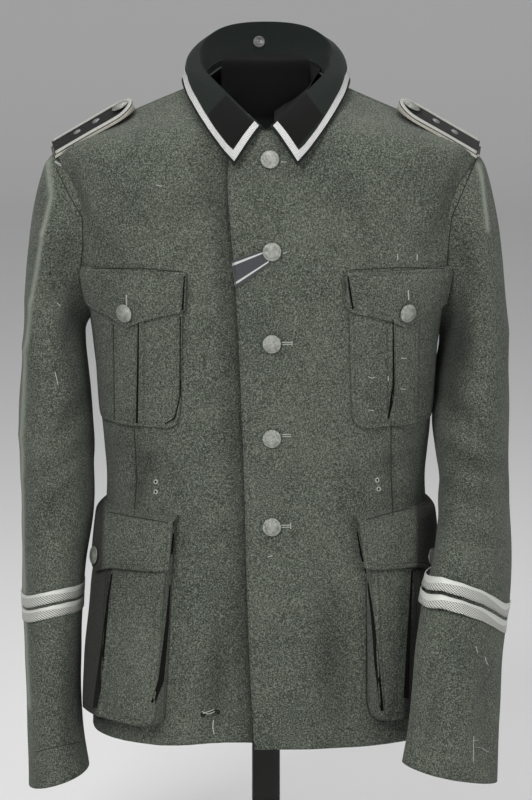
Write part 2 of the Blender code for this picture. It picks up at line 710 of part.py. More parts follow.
def build_front_buttons():
    for i, (x, z) in enumerate(zip(FRONT_BUTTONS["x"], FRONT_BUTTONS["z"])):
        build_button_on(f"front_button_{i + 1}", 1, turn_at(x, z), z, BUTTON_LIFT)


def build_pocket_buttons():
    flap_face = FLAP_LIFT + FLAP_CLEAR + FLAP_WALL + 0.0005
    for name, side in (("right", -1), ("left", 1)):
        z = CHEST_FLAP["point"] + 0.017
        turn = turn_after(CHEST_FLAP["inner"], z, CHEST_FLAP["width"] / 2)
        build_button_on(f"chest_button_{name}", side, turn, z, flap_face + chest_stand_off(0.5, z))
        z = HIP_FLAP["point"] + 0.014
        width = HIP_FLAP["width"] * (LEFT_HIP_WIDTH_SHARE if side > 0 else 1)
        turn = turn_after(HIP_FLAP["inner"], z, width / 2)
        lift = flap_face + hip_stand_off(BELLOWS_OUTER[name])(0.5, z)
        build_button_on(f"hip_button_{name}", side, turn, z, lift)


# Shoulder boards, laid along the shoulder just in front of the seam

def top_of(x, y):
    """Height of the shoulder at (x, y), found by halving."""
    side = "front" if y < 0 else "back"
    low = 0.700
    high = BODY_SECTIONS["z"][-1]
    for _ in range(40):
        z = (low + high) / 2
        width = through(BODY_SECTIONS["z"], BODY_SECTIONS["width"], z)
        depth = through(BODY_SECTIONS["z"], BODY_SECTIONS[side], z)
        inside = (abs(x) / width) ** SECTION_POWER + (abs(y) / depth) ** SECTION_POWER < 1
        low = z if inside else low
        high = high if inside else z
    return low


def board_point(x, across, lift):
    """Point of a board: the stiff board is flatter than the shoulder under it."""
    share = (BOARD_OUTER_X - x) / (BOARD_OUTER_X - BOARD_INNER_X)
    ridge = BOARD_OUTER_Z + (top_of(BOARD_INNER_X, BOARD_CENTRE_Y) - BOARD_OUTER_Z) * share
    held = min(x, BOARD_FLAT_X)
    sag = top_of(held, BOARD_CENTRE_Y) - top_of(held, BOARD_CENTRE_Y + across)
    return Vector((x, BOARD_CENTRE_Y + across, ridge - 0.7 * sag + lift))


def board_end(across):
    """Where the rounded collar end of the board lies for a place across it."""
    reach = math.sqrt(max(1 - (across / BOARD_HALF_WIDTH) ** 2, 0.0))
    return BOARD_INNER_X + BOARD_HALF_WIDTH * (1 - reach)


def build_board(name, side):
    shares = [math.sin(angle) for angle in spaced(-SIDE, SIDE, 9)]
    under = []
    face = []
    for s in spaced(0, 1, 8):
        low = []
        high = []
        for share in shares:
            across = share * BOARD_HALF_WIDTH
            x = BOARD_OUTER_X + (board_end(across) - BOARD_OUTER_X) * s
            low.append(board_point(x, across, BOARD_LIFT))
            high.append(board_point(x, across, BOARD_LIFT + BOARD_WALL))
        under.append(low)
        face.append(high)
    cloth(name, on_side(side, face), on_side(side, under), COLLAR_CLOTH)


def build_board_braid(name, side):
    """A flat braid round the long sides and the rounded end of a board."""
    outline = [(x, 1) for x in spaced(BOARD_OUTER_X - 0.001, BOARD_INNER_X + BOARD_HALF_WIDTH, 6)]
    outline += [(None, angle) for angle in spaced(SIDE, -SIDE, 9)[1:-1]]
    outline += [(x, -1) for x in spaced(BOARD_INNER_X + BOARD_HALF_WIDTH, BOARD_OUTER_X - 0.001, 6)]
    centre = BOARD_INNER_X + BOARD_HALF_WIDTH
    levels = []
    for lift in (BOARD_LIFT + BOARD_WALL + SEAM_GAP * 2, BOARD_LIFT + BOARD_WALL + BOARD_BRAID_WALL):
        rows = []
        for inset in (0.0006, BOARD_BRAID):
            radius = BOARD_HALF_WIDTH - inset
            row = []
            for x, where in outline:
                if x is None:
                    place = (centre - radius * math.cos(where), radius * math.sin(where))
                else:
                    place = (x, radius * where)
                row.append(board_point(*place, lift))
            rows.append(row)
        levels.append(rows)
    under, face = levels
    cloth(name, on_side(side, face), on_side(side, under), SILVER_BRAID)


def build_board_button(name, side):
    x = BOARD_INNER_X + 0.013
    place = board_point(x, 0, BOARD_LIFT + BOARD_WALL + 0.0006)
    slope = board_point(x + 0.01, 0, 0) - board_point(x - 0.01, 0, 0)
    axis = Vector((-slope.z, 0, slope.x)).normalized()
    place.x *= side
    axis.x *= side
    button(name, place, axis)


# Cuff braid, ribbon and collar trim

def build_cuff_band(name, table, side, middle):
    lift = 0.0008
    levels = []
    for out in (lift + BAND_WALL, lift):
        rows = [sleeve_ring(table, side, z, out=out)
                for z in (middle + BAND_HALF_HEIGHT, middle - BAND_HALF_HEIGHT)]
        if side < 0:
            rows = [row[::-1] for row in rows]
        levels.append(rows)
    cloth(name, levels[0], levels[1], SILVER_BRAID, closed=True)


def build_ribbon():
    levels = []
    for lift in (LAYER_LIFT + RIBBON_WALL, LAYER_LIFT):
        rows = []
        for edge in ("bottom", "top"):
            start = RIBBON["outer_" + edge]
            end = RIBBON["inner_" + edge]
            row = []
            for s in spaced(0, 1, 6):
                x = start[0] + (end[0] - start[0]) * s
                z = start[1] + (end[1] - start[1]) * s
                row.append(body(turn_at(x, z), z, lift))
            rows.append(row)
        levels.append(rows)
    cloth("ribbon", levels[0], levels[1], RIBBON_SILK)


# Dress form, pole and base

def form_clearance(turn, z):
    near_neck = smooth((z - 0.805) / 0.018)
    shoulder = smooth((z - 0.735) / 0.03) * abs(math.sin(turn)) ** 40 * (1 - near_neck)
    clear = FORM_CLEAR + (FORM_SHOULDER_CLEAR - FORM_CLEAR) * shoulder
    return WALL + clear + FORM_NECK_CLEAR * near_neck


def form_ring(z, count=28):
    ring = []
    for j in range(count):
        turn = 2 * math.pi * j / count
        point = body(turn, z, -form_clearance(turn, z))
        if z > THROAT_Z and math.cos(turn) > 0 and abs(point.x) < NECK_HALF_WIDTH:
            bow = math.sqrt(1 - (point.x / NECK_HALF_WIDTH) ** 2)
            point.y = min(point.y, NECK_CENTRE_Y - NECK_HALF_DEPTH * bow)
        ring.append(point)
    return ring


def neck_ring(z, scale, count=28):
    ring = []
    for j in range(count):
        turn = 2 * math.pi * j / count
        ring.append(Vector((NECK_HALF_WIDTH * scale * math.sin(turn),
                            NECK_CENTRE_Y - NECK_HALF_DEPTH * scale * math.cos(turn), z)))
    return ring


def build_form():
    heights = (0.306, 0.340, 0.380, 0.415, 0.460, 0.510, 0.560, 0.600, 0.650, 0.700, 0.740,
               0.758, 0.768, 0.776, 0.785, 0.795, 0.804, 0.812, 0.820, 0.826)
    first = [Vector((p.x * 0.97, p.y * 0.97, FORM_BOTTOM_Z)) for p in form_ring(heights[0])]
    rings = [first] + [form_ring(z) for z in heights]
    rings += [neck_ring(0.832, 1.0), neck_ring(NECK_TOP_Z - 0.006, 1.0),
              neck_ring(NECK_TOP_Z - 0.001, 0.93), neck_ring(NECK_TOP_Z, 0.80)]
    lofted("dress_form", rings, FORM_CLOTH)


def build_stand():
    half = POLE_WIDTH / 2
    chamfer = 0.002
    corners = [(half, half - chamfer), (half - chamfer, half), (chamfer - half, half),
               (-half, half - chamfer), (-half, chamfer - half), (chamfer - half, -half),
               (half - chamfer, -half), (half, chamfer - half)]
    ends = (BASE_HEIGHT + SEAM_GAP, FORM_BOTTOM_Z - SEAM_GAP)
    lofted("pole", [[Vector((x, y, z)) for x, y in corners] for z in ends], STAND_METAL)
    edge = 0.002
    profile = [(0, 0), (BASE_RADIUS - edge, 0), (BASE_RADIUS, edge),
               (BASE_RADIUS, BASE_HEIGHT - edge), (BASE_RADIUS - edge, BASE_HEIGHT), (0, BASE_HEIGHT)]
    turned("base", profile, Vector((0, 0, 0)), Vector((0, 0, 1)), STAND_METAL, sides=48)


build_left_front()
build_right_front()
build_back()
build_sleeve("sleeve_right", RIGHT_SLEEVE, -1)
build_sleeve("sleeve_left", LEFT_SLEEVE, 1)
build_collar()
for label, way in (("right", -1), ("left", 1)):
    build_chest_pocket(f"chest_pocket_{label}", way)
    build_flap(f"chest_flap_{label}", way, CHEST_FLAP, CHEST_FLAP["width"], chest_stand_off)
    hip_share = LEFT_HIP_WIDTH_SHARE if way > 0 else 1
    build_hip_pocket(f"hip_pocket_{label}", way, HIP_POCKET["width"] * hip_share, BELLOWS_OUTER[label])
    build_flap(f"hip_flap_{label}", way, HIP_FLAP, HIP_FLAP["width"] * hip_share,
               hip_stand_off(BELLOWS_OUTER[label]))
    build_board(f"shoulder_board_{label}", way)
    build_board_braid(f"board_braid_{label}", way)
    build_board_button(f"board_button_{label}", way)
    for number, height in enumerate(CUFF_BANDS[label]):
        sleeve_table = RIGHT_SLEEVE if way < 0 else LEFT_SLEEVE
        build_cuff_band(f"cuff_band_{label}_{number + 1}", sleeve_table, way, height)
build_front_buttons()
build_pocket_buttons()
build_ribbon()
build_form()
build_stand()
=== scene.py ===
# Grey-green wool field jacket on a black dress form, in assembly order.
import json
import math

import bmesh
import bpy
import numpy as np
from mathutils import Matrix, Vector, noise
from mathutils.bvhtree import BVHTree
from mathutils.kdtree import KDTree

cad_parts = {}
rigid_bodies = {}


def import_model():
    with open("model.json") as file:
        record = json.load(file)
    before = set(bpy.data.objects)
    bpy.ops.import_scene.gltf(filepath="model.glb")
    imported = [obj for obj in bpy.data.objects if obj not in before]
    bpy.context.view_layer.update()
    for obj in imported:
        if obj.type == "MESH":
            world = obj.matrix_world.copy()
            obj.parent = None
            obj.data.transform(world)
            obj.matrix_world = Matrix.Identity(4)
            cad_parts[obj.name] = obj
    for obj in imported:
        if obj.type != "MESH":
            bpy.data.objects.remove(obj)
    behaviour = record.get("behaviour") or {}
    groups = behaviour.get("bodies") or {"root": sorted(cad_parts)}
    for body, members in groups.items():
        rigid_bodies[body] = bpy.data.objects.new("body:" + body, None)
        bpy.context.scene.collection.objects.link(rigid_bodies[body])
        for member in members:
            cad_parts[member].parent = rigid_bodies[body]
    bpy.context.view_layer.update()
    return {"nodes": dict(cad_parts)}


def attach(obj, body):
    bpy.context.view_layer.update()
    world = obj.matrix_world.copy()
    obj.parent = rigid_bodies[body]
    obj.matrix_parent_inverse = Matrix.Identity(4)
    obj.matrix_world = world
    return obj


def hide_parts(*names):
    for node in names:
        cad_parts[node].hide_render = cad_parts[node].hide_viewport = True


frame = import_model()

scene = bpy.context.scene
SIDES = (("right", -1), ("left", 1))

# Camera: a long lens, level with the chest pockets and looking slightly down.
# The lens fits 0.84 m of height at the jacket into the picture's 800 lines.
CAMERA_DISTANCE = 5.0
CAMERA_ANGLE = math.radians(8.5)
AIM_HEIGHT = 0.505
SEEN_HEIGHT = 0.84

camera_data = bpy.data.cameras.new("camera")
camera_data.sensor_width = 36.0
camera_data.lens = camera_data.sensor_width * CAMERA_DISTANCE / SEEN_HEIGHT
camera_data.clip_end = 50.0
camera = bpy.data.objects.new("camera", camera_data)
camera.location = (0.0, -CAMERA_DISTANCE * math.cos(CAMERA_ANGLE),
                   AIM_HEIGHT + CAMERA_DISTANCE * math.sin(CAMERA_ANGLE))
camera.rotation_euler = (math.pi / 2 - CAMERA_ANGLE, 0.0, 0.0)
scene.collection.objects.link(camera)
scene.camera = camera


# Fronts and back: felted wool of mixed dark and pale grey-green fibres, with soft folds down the
# chest and skirt and painted shade in their troughs. The lower front carries a painted shadow of
# the upper one.

class Wire:
    """A shader socket. Sums and products of wires add their own Math nodes."""

    def __init__(self, finish, socket):
        self.finish = finish
        self.socket = socket

    def worked(self, operation, first, second):
        return self.finish.add("ShaderNodeMath", {"operation": operation}, {0: first, 1: second})

    def __add__(self, other):
        return self.worked("ADD", self, other)

    def __sub__(self, other):
        return self.worked("SUBTRACT", self, other)

    def __rsub__(self, other):
        return self.worked("SUBTRACT", other, self)

    def __mul__(self, other):
        return self.worked("MULTIPLY", self, other)

    def __truediv__(self, other):
        return self.worked("DIVIDE", self, other)

    def above(self, limit):
        return self.worked("GREATER_THAN", self, limit)

    __radd__ = __add__
    __rmul__ = __mul__


class Finish:
    """A material on one Principled shader, with its nodes added one by one."""

    def __init__(self, name, **constants):
        self.material = bpy.data.materials.new(name)
        self.material.use_nodes = True
        self.tree = self.material.node_tree
        self.shader = self.tree.nodes["Principled BSDF"]
        for label, value in constants.items():
            socket = label.replace("_", " ").title().replace("Ior", "IOR")
            self.shader.inputs[socket].default_value = value

    def add(self, kind, settings=None, inputs=None, output=0):
        node = self.tree.nodes.new(kind)
        for label, value in (settings or {}).items():
            if label == "stops":
                for _ in range(len(value) - 2):
                    node.color_ramp.elements.new(0.5)
                for element, (place, colour) in zip(node.color_ramp.elements, value):
                    element.position = place
                    element.color = (*colour, 1.0)
            else:
                setattr(node, label, value)
        for label, value in (inputs or {}).items():
            if isinstance(value, Wire):
                self.tree.links.new(value.socket, node.inputs[label])
            else:
                node.inputs[label].default_value = value
        return Wire(self, node.outputs[output])

    def place(self):
        return self.add("ShaderNodeTexCoord", output="Object")

    def noise(self, scale, detail=2.0, where=None, roughness=0.5):
        return self.add("ShaderNodeTexNoise", {}, {
            "Vector": where or self.place(), "Scale": scale, "Detail": detail,
            "Roughness": roughness}, "Fac")

    def attribute(self, name):
        return self.add("ShaderNodeAttribute", {"attribute_name": name}, output="Fac")

    def ramp(self, factor, stops):
        return self.add("ShaderNodeValToRGB", {"stops": stops}, {"Fac": factor}, "Color")

    def mix(self, factor, first, second):
        return self.add("ShaderNodeMix", {"data_type": "RGBA"}, {
            0: factor, 6: first, 7: second}, 2)

    def bump(self, height, distance, strength=1.0, normal=None):
        inputs = {"Height": height, "Distance": distance, "Strength": strength}
        if normal:
            inputs["Normal"] = normal
        return self.add("ShaderNodeBump", {}, inputs, "Normal")

    def sine(self, wire):
        return self.add("ShaderNodeMath", {"operation": "SINE"}, {0: wire})

    def axis(self, place, index):
        return self.add("ShaderNodeSeparateXYZ", {}, {0: place}, index)

    def laid_place(self):
        """The UVs of laid trim: metres along and across it."""
        return self.add("ShaderNodeUVMap", {"uv_map": "length"}, output="UV")

    def gap(self, wire, place):
        return self.add("ShaderNodeMath", {"operation": "ABSOLUTE"}, {0: wire - place})

    def feed(self, label, wire):
        self.tree.links.new(wire.socket, self.shader.inputs[label])


WOOL_DARK = (0.014, 0.018, 0.013)
WOOL_MID = (0.058, 0.069, 0.055)
WOOL_PALE = (0.200, 0.222, 0.186)
WOOL_BROWN = (0.052, 0.050, 0.040)
FLECK_SCALE = 640.0
FIBRE_SCALE = 1300.0
CLOUD_SCALE = 14.0
FRAY_SCALE = 420.0
NAP_HEIGHT = 0.0011
STITCH_INSET = 0.0045
STITCH_WIDTH = 0.0016
HOLE_EDGE = 1.5
# Moth holes low on the right front: middle x and z, half width and half height
MOTH_HOLES = ((-0.0652, 0.1945, 0.0027, 0.0025), (-0.0510, 0.1975, 0.0036, 0.0024))


def tinted(colour, tint=1.0):
    """A colour for a Mix socket, made darker or paler."""
    return *(channel * tint for channel in colour), 1.0


def wool_finish(name, stitched=False, holes=()):
    """Felted wool of mixed dark and pale fibres. "rim" carries a stitched groove darkened by
    painted shade, and "crease" is painted shade below zero, which also gives the inner wall its
    dark lining, and a painted highlight above zero on a pressed ridge."""
    wool = Finish(name, roughness=0.95, sheen_weight=0.07, sheen_roughness=0.5,
                  specular_ior_level=0.08)
    where = wool.place()
    flecks = wool.noise(FLECK_SCALE, 3.0, where, 0.75)
    fibres = wool.noise(FIBRE_SCALE, 2.0, where, 0.7)
    clouds = wool.noise(CLOUD_SCALE, 4.0, where, 0.6)
    tone = flecks * 0.72 + fibres * 0.28 + clouds * 0.12 - 0.06
    heather = wool.ramp(tone, [(0.385, WOOL_DARK), (0.49, WOOL_MID), (0.61, WOOL_PALE)])
    colour = wool.mix(clouds * 0.35, heather, tinted(WOOL_BROWN))
    height = flecks
    if stitched:
        # The stitched groove is darkened with painted shade as well as bumped.
        seam = wool.add("ShaderNodeMapRange", {"interpolation_type": "SMOOTHSTEP"}, {
            "Value": wool.gap(wool.attribute("rim"), STITCH_INSET), "From Min": 0.0,
            "From Max": STITCH_WIDTH, "To Min": 1.0, "To Max": 0.0}, "Result")
        colour = wool.mix(seam * 0.18, colour, tinted(WOOL_DARK, 0.8))
        height = height - seam * 0.9
    crease = wool.attribute("crease")
    shade, ridge_highlight = (wool.add("ShaderNodeMapRange", {}, {
        "Value": crease, "From Min": 0.0, "From Max": end, "To Max": 1.0}, "Result")
                     for end in (-1.0, 1.0))
    # Painted shade where crease is below zero, and a painted highlight where it is above zero.
    colour = wool.mix(shade * 0.80, colour, tinted(WOOL_BROWN, 0.22))
    colour = wool.mix(ridge_highlight * 0.75, colour, tinted(WOOL_PALE, 1.15))
    wool.feed("Base Color", colour)
    wool.feed("Normal", wool.bump(height, NAP_HEIGHT, 0.7))
    if holes:
        frayed = wool.noise(FRAY_SCALE, 3.0, where)
        cloth = 1.0
        for x, z, half_width, half_height in holes:
            across = (wool.axis(where, 0) - x) / half_width
            up = (wool.axis(where, 2) - z) / half_height
            cloth = (across * across + up * up + frayed).above(HOLE_EDGE) * cloth
        wool.feed("Alpha", cloth.worked("MAXIMUM", cloth, wool.attribute("lining")))
    return wool.material


SAME_PLACE = 0.00002
CUT_ANGLE = math.radians(50.0)
SHARP_ANGLE = math.radians(55.0)


def finer(node, name, levels):
    """A merged, subdivided copy of a CAD node that keeps the cut edges of its cloth."""
    shape = bmesh.new()
    shape.from_mesh(frame["nodes"][node].data)
    bmesh.ops.remove_doubles(shape, verts=shape.verts, dist=SAME_PLACE)
    bmesh.ops.join_triangles(shape, faces=shape.faces, angle_face_threshold=0.7,
                             angle_shape_threshold=1.2)
    crease = shape.edges.layers.float.new("crease_edge")
    for edge in shape.edges:
        if edge.calc_face_angle(0.0) > CUT_ANGLE:
            edge[crease] = 1.0
    mesh = bpy.data.meshes.new(name)
    shape.to_mesh(mesh)
    shape.free()
    rough = bpy.data.objects.new(name, mesh)
    scene.collection.objects.link(rough)
    surface = rough.modifiers.new("smooth", "SUBSURF")
    surface.levels = levels
    surface.render_levels = levels
    graph = bpy.context.evaluated_depsgraph_get()
    smooth = bpy.data.meshes.new_from_object(rough.evaluated_get(graph))
    smooth.name = name
    rough.modifiers.clear()
    rough.data = smooth
    smooth.materials.clear()
    smooth.shade_smooth()
    smooth.set_sharp_from_angle(angle=SHARP_ANGLE)
    return rough


def positions(piece):
    flat = np.zeros(len(piece.data.vertices) * 3, np.float32)
    piece.data.vertices.foreach_get("co", flat)
    return flat.reshape(-1, 3).astype(float)


def solid_points(node):
    return positions(frame["nodes"][node])


def normals(piece):
    return np.array([vertex.normal for vertex in piece.data.vertices])


def move_to(piece, points):
    piece.data.vertices.foreach_set("co", points.astype(np.float32).ravel())
    piece.data.update()


def store(piece, name, values):
    """Keep one number per point, which a finish reads as an attribute."""
    piece.data.attributes.new(name, "FLOAT", "POINT").data.foreach_set("value", values)


def along_fold(points, start, end):
    """Distance from a line in the front view, and the place along it from 0 to 1."""
    line = np.array(end) - np.array(start)
    offset = points[:, [0, 2]] - np.array(start)
    share = np.clip(offset @ line / (line @ line), 0.0, 1.0)
    distance = np.linalg.norm(offset - share[:, None] * line, axis=1)
    return distance, share


TURN_DEPTH = 0.024


def frontness(points, front_y):
    """1 on the front of a piece and 0 on its back, with a soft change along the sides."""
    return np.clip(0.5 + (front_y - points[:, 1]) / TURN_DEPTH, 0.0, 1.0)


RIPPLE_DEPTH = 0.0011
RIPPLE_SIZE = 0.045


def each_fold(points, folds, in_front):
    """Per fold: its kind, width, depth, and each point's distance and place along it. Last
    is how far each point faces the fold's side of the jacket."""
    for kind, lines in folds.items():
        facing = 1.0 - in_front if kind == "back" else in_front
        for x0, z0, x1, z1, width, depth in lines:
            yield kind, width, depth, *along_fold(points, (x0, z0), (x1, z1)), facing


def soft_fold(distance, share, width, ease):
    """How much of a soft fold reaches each point: it fades across it and to both ends."""
    taper = np.sin(np.pi * np.clip(share * 0.86 + 0.07, 0.0, 1.0)) ** ease
    return np.exp(-(distance / width) ** 2) * taper


def fold_push(points, folds, in_front):
    """How far each point moves out along the folds; a pressed fold has a sharp crest."""
    push = np.array([noise.noise(Vector(point) / RIPPLE_SIZE) for point in points]) * RIPPLE_DEPTH
    for kind, width, depth, distance, share, facing in each_fold(points, folds, in_front):
        if kind == "pressed":
            push += depth * np.exp(-distance / width) * facing
        else:
            push += depth * soft_fold(distance, share, width, 0.7) * facing
    return push


# Width and least strength of the painted highlight on a pressed ridge, and the trough depth that
# gets full painted shade.
HIGHLIGHT_WIDTH = 0.0024
LEAST_HIGHLIGHT = 0.05
DEEPEST_FOLD = 0.009


def mark_creases(piece, points, folds, in_front, shade=0.0):
    """Store painted shade, below zero, in the troughs of the folds and a painted highlight, above
    zero, on pressed ridges; the given shade is added.
    """
    tone = np.zeros(len(points)) + shade
    for kind, width, depth, distance, share, facing in each_fold(points, folds, in_front):
        if kind == "pressed":
            line = np.exp(-(distance / HIGHLIGHT_WIDTH) ** 2) * facing
            tone = np.where(line > LEAST_HIGHLIGHT, np.maximum(tone, line), tone)
        elif depth < 0:
            tone += depth / DEEPEST_FOLD * soft_fold(distance, share, width, 1.0) * facing
    store(piece, "crease", tone)


def out_from(points, middle):
    """Level directions of unit length away from an upright line."""
    outward = points[:, :2] - middle
    return outward / np.maximum(np.linalg.norm(outward, axis=1), 1e-6)[:, None]


def press_folds(piece, folds, shade):
    """Move the cloth out from the body's middle by its folds, and store their painted shade."""
    points = positions(piece)
    in_front = frontness(points, 0.0)
    push = fold_push(points, folds, in_front)
    mark_creases(piece, points, folds, in_front, shade)
    points[:, :2] += out_from(points, (0.0, 0.0)) * push[:, None]
    move_to(piece, points)


RIM_ANGLE = math.radians(60.0)


def rim_distances(piece, lowest=0.0):
    """Each point's distance from the cut edges of its cloth that lie above a height."""
    shape = bmesh.new()
    shape.from_mesh(piece.data)
    rim = []
    for edge in shape.edges:
        if edge.calc_face_angle(0.0) > RIM_ANGLE and edge.verts[0].co.z > lowest:
            rim += [edge.verts[0].co.copy(), (edge.verts[0].co + edge.verts[1].co) / 2]
    tree = KDTree(len(rim))
    for i, point in enumerate(rim):
        tree.insert(point, i)
    tree.balance()
    near = [tree.find(vertex.co)[2] for vertex in shape.verts]
    shape.free()
    return near


def mark_rim(piece):
    """Store the distance from the cut edge, for the row of stitches along it."""
    store(piece, "rim", rim_distances(piece))


def dress(piece, finish, slot, *nodes):
    piece.data.materials.append(finish)
    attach(piece, "root")
    if nodes:
        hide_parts(*nodes)
    return piece


# Long soft folds of the body by side, in the front view: start and end as x and z, half width, and
# depth (below zero for a trough, which also carries painted shade)
BODY_FOLDS = {
    "front": (
        (-0.050, 0.735, -0.041, 0.560, 0.009, -0.0024),
        (-0.041, 0.580, -0.033, 0.400, 0.009, -0.0022),
        (-0.033, 0.420, -0.024, 0.160, 0.009, -0.0026),
        (-0.044, 0.310, -0.058, 0.158, 0.012, -0.0042),
        (-0.072, 0.290, -0.084, 0.158, 0.014, 0.0030),
        (0.066, 0.340, 0.078, 0.158, 0.015, -0.0040),
        (0.040, 0.320, 0.046, 0.158, 0.014, 0.0026),
        (-0.072, 0.800, -0.052, 0.700, 0.010, -0.0024),
        (-0.118, 0.470, -0.142, 0.405, 0.010, -0.0030),
        (-0.205, 0.765, -0.186, 0.700, 0.009, -0.0036),
        (0.203, 0.765, 0.186, 0.700, 0.009, -0.0036),
        (-0.187, 0.700, -0.150, 0.664, 0.012, -0.0022),
        (0.187, 0.700, 0.150, 0.664, 0.012, -0.0022),
        (-0.137, 0.490, -0.134, 0.385, 0.007, -0.0022),
        (0.130, 0.492, 0.134, 0.385, 0.007, -0.0022),
        (-0.160, 0.470, -0.090, 0.440, 0.012, -0.0022),
        (0.160, 0.462, 0.096, 0.436, 0.012, -0.0020),
        (-0.150, 0.430, -0.060, 0.428, 0.011, 0.0016),
        (0.150, 0.428, 0.070, 0.424, 0.011, 0.0016),
        (-0.120, 0.700, -0.060, 0.735, 0.018, -0.0018),
        (0.120, 0.705, 0.060, 0.735, 0.018, -0.0018),
    ),
    "back": (
        (0.000, 0.700, 0.000, 0.440, 0.020, -0.0030),
        (-0.140, 0.690, -0.080, 0.520, 0.022, -0.0036),
        (0.140, 0.690, 0.080, 0.520, 0.022, -0.0036),
        (-0.150, 0.440, -0.040, 0.418, 0.014, -0.0034),
        (0.150, 0.436, 0.040, 0.420, 0.014, -0.0034),
        (-0.120, 0.400, -0.020, 0.396, 0.012, 0.0024),
        (0.120, 0.398, 0.020, 0.394, 0.012, 0.0024),
        (-0.080, 0.380, -0.096, 0.158, 0.020, 0.0040),
        (0.080, 0.380, 0.094, 0.158, 0.020, 0.0040),
        (-0.030, 0.360, -0.034, 0.158, 0.018, -0.0040),
        (0.034, 0.360, 0.038, 0.158, 0.018, -0.0040),
    ),
}
LAP_TOP = 0.80
LAP_STEP = 0.02
# Strength and width of the painted shadow beside the lap edge
LAP_SHADE = 0.80
LAP_SHADE_WIDTH = 0.0085
LAP_RISE = 0.008
LAP_REACH = (-0.110, 0.07)
HEM_REACH = (0.21, 0.06)


def lap_edge(heights):
    """Where the free edge of the upper front lies, read from its CAD solid."""
    solid = solid_points("front_left")
    levels = np.unique(solid[solid[:, 2] < LAP_TOP, 2].round(2))
    edge = [solid[np.abs(solid[:, 2] - level) < LAP_STEP, 0].min() for level in levels]
    return np.interp(heights, levels, edge)


def lap_shade(piece):
    """Painted shadow of the upper front on the lower one, darkest at the lap edge."""
    points = positions(piece)
    beside = np.maximum(lap_edge(points[:, 2]) - points[:, 0], 0.0)
    return np.where(points[:, 1] < 0, -LAP_SHADE * np.exp(-beside / LAP_SHADE_WIDTH), 0.0)


NECK_MIDDLE = (0.0, 0.010)
NECK_RADIUS = 0.082
NECK_HEIGHT = 0.79


def lining_and_neck_shade(piece):
    """1 on the inner wall of a panel, its dark lining, and in the neck, where the wool gets
    painted shade; 0 elsewhere on the wool.
    """
    points = positions(piece)
    inside = (points * normals(piece))[:, :2].sum(axis=1) < 0
    from_neck = np.linalg.norm(points[:, :2] - NECK_MIDDLE, axis=1)
    inside |= (from_neck < NECK_RADIUS) & (points[:, 2] > NECK_HEIGHT)
    store(piece, "lining", inside.astype(float))
    return inside


def lift_hem(piece):
    """Raise the hem of the lower front towards the lap."""
    points = positions(piece)
    low = np.clip((HEM_REACH[0] - points[:, 2]) / HEM_REACH[1], 0.0, 1.0)
    near = np.clip((points[:, 0] - LAP_REACH[0]) / LAP_REACH[1], 0.0, 1.0)
    points[:, 2] += LAP_RISE * low * near * (points[:, 1] < 0)
    move_to(piece, points)


wool = wool_finish("wool")
wool_stitched = wool_finish("wool_stitched", stitched=True)
wool_holed = wool_finish("wool_holed", holes=MOTH_HOLES)
for node, finish in (("front_right", wool_holed), ("front_left", wool), ("back", wool)):
    panel = finer(node, node + "_wool", 3)
    # Dark lining and painted shade at the neck, and on the lower front the painted shadow of the
    # lap.
    shade = -1.0 * lining_and_neck_shade(panel)
    if node == "front_right":
        shade += lap_shade(panel)
    press_folds(panel, BODY_FOLDS, shade)
    if node == "front_right":
        lift_hem(panel)
    mark_rim(panel)
    dress(panel, finish, "wool", node)


# Sleeves: wool tubes, bent at the elbow, pressed to a ridge along the outside and tucked under the
# panels at the armholes. Their troughs carry painted shade and the ridge a painted highlight.

TUBE_STEP = 0.025


def sleeve_middle(solid, height):
    """Middle of the sleeve's tube at a height, from the CAD solid's own points."""
    near = solid[np.abs(solid[:, 2] - height) < TUBE_STEP, :2]
    return (near.min(axis=0) + near.max(axis=0)) / 2


# Sleeve folds by kind: a pressed ridge carries a painted highlight, a trough painted shade
RIGHT_SLEEVE_FOLDS = {
    "pressed": (
        (-0.228, 0.762, -0.2215, 0.726, 0.006, 0.0045),
        (-0.2215, 0.726, -0.231, 0.687, 0.006, 0.0045),
        (-0.231, 0.687, -0.2436, 0.614, 0.006, 0.0045),
        (-0.2436, 0.614, -0.249, 0.565, 0.006, 0.0045),
        (-0.249, 0.565, -0.253, 0.470, 0.006, 0.0040),
        (-0.253, 0.470, -0.2545, 0.425, 0.006, 0.0012),
        (-0.2545, 0.425, -0.2530, 0.295, 0.006, 0.0),
        (-0.2530, 0.295, -0.2480, 0.190, 0.006, 0.0),
    ),
    "front": (
        (-0.196, 0.700, -0.226, 0.610, 0.012, -0.0040),
        (-0.190, 0.640, -0.214, 0.540, 0.012, -0.0030),
        (-0.182, 0.520, -0.226, 0.470, 0.010, -0.0036),
        (-0.180, 0.470, -0.240, 0.436, 0.010, -0.0034),
        (-0.186, 0.440, -0.236, 0.392, 0.010, -0.0030),
        (-0.222, 0.360, -0.226, 0.330, 0.010, 0.0018),
        (-0.200, 0.262, -0.206, 0.130, 0.010, -0.0026),
        (-0.226, 0.255, -0.228, 0.120, 0.010, 0.0022),
    ),
    "back": (
        (-0.210, 0.560, -0.240, 0.440, 0.014, -0.0040),
        (-0.190, 0.440, -0.240, 0.400, 0.012, -0.0050),
        (-0.200, 0.380, -0.250, 0.350, 0.012, -0.0040),
    ),
}
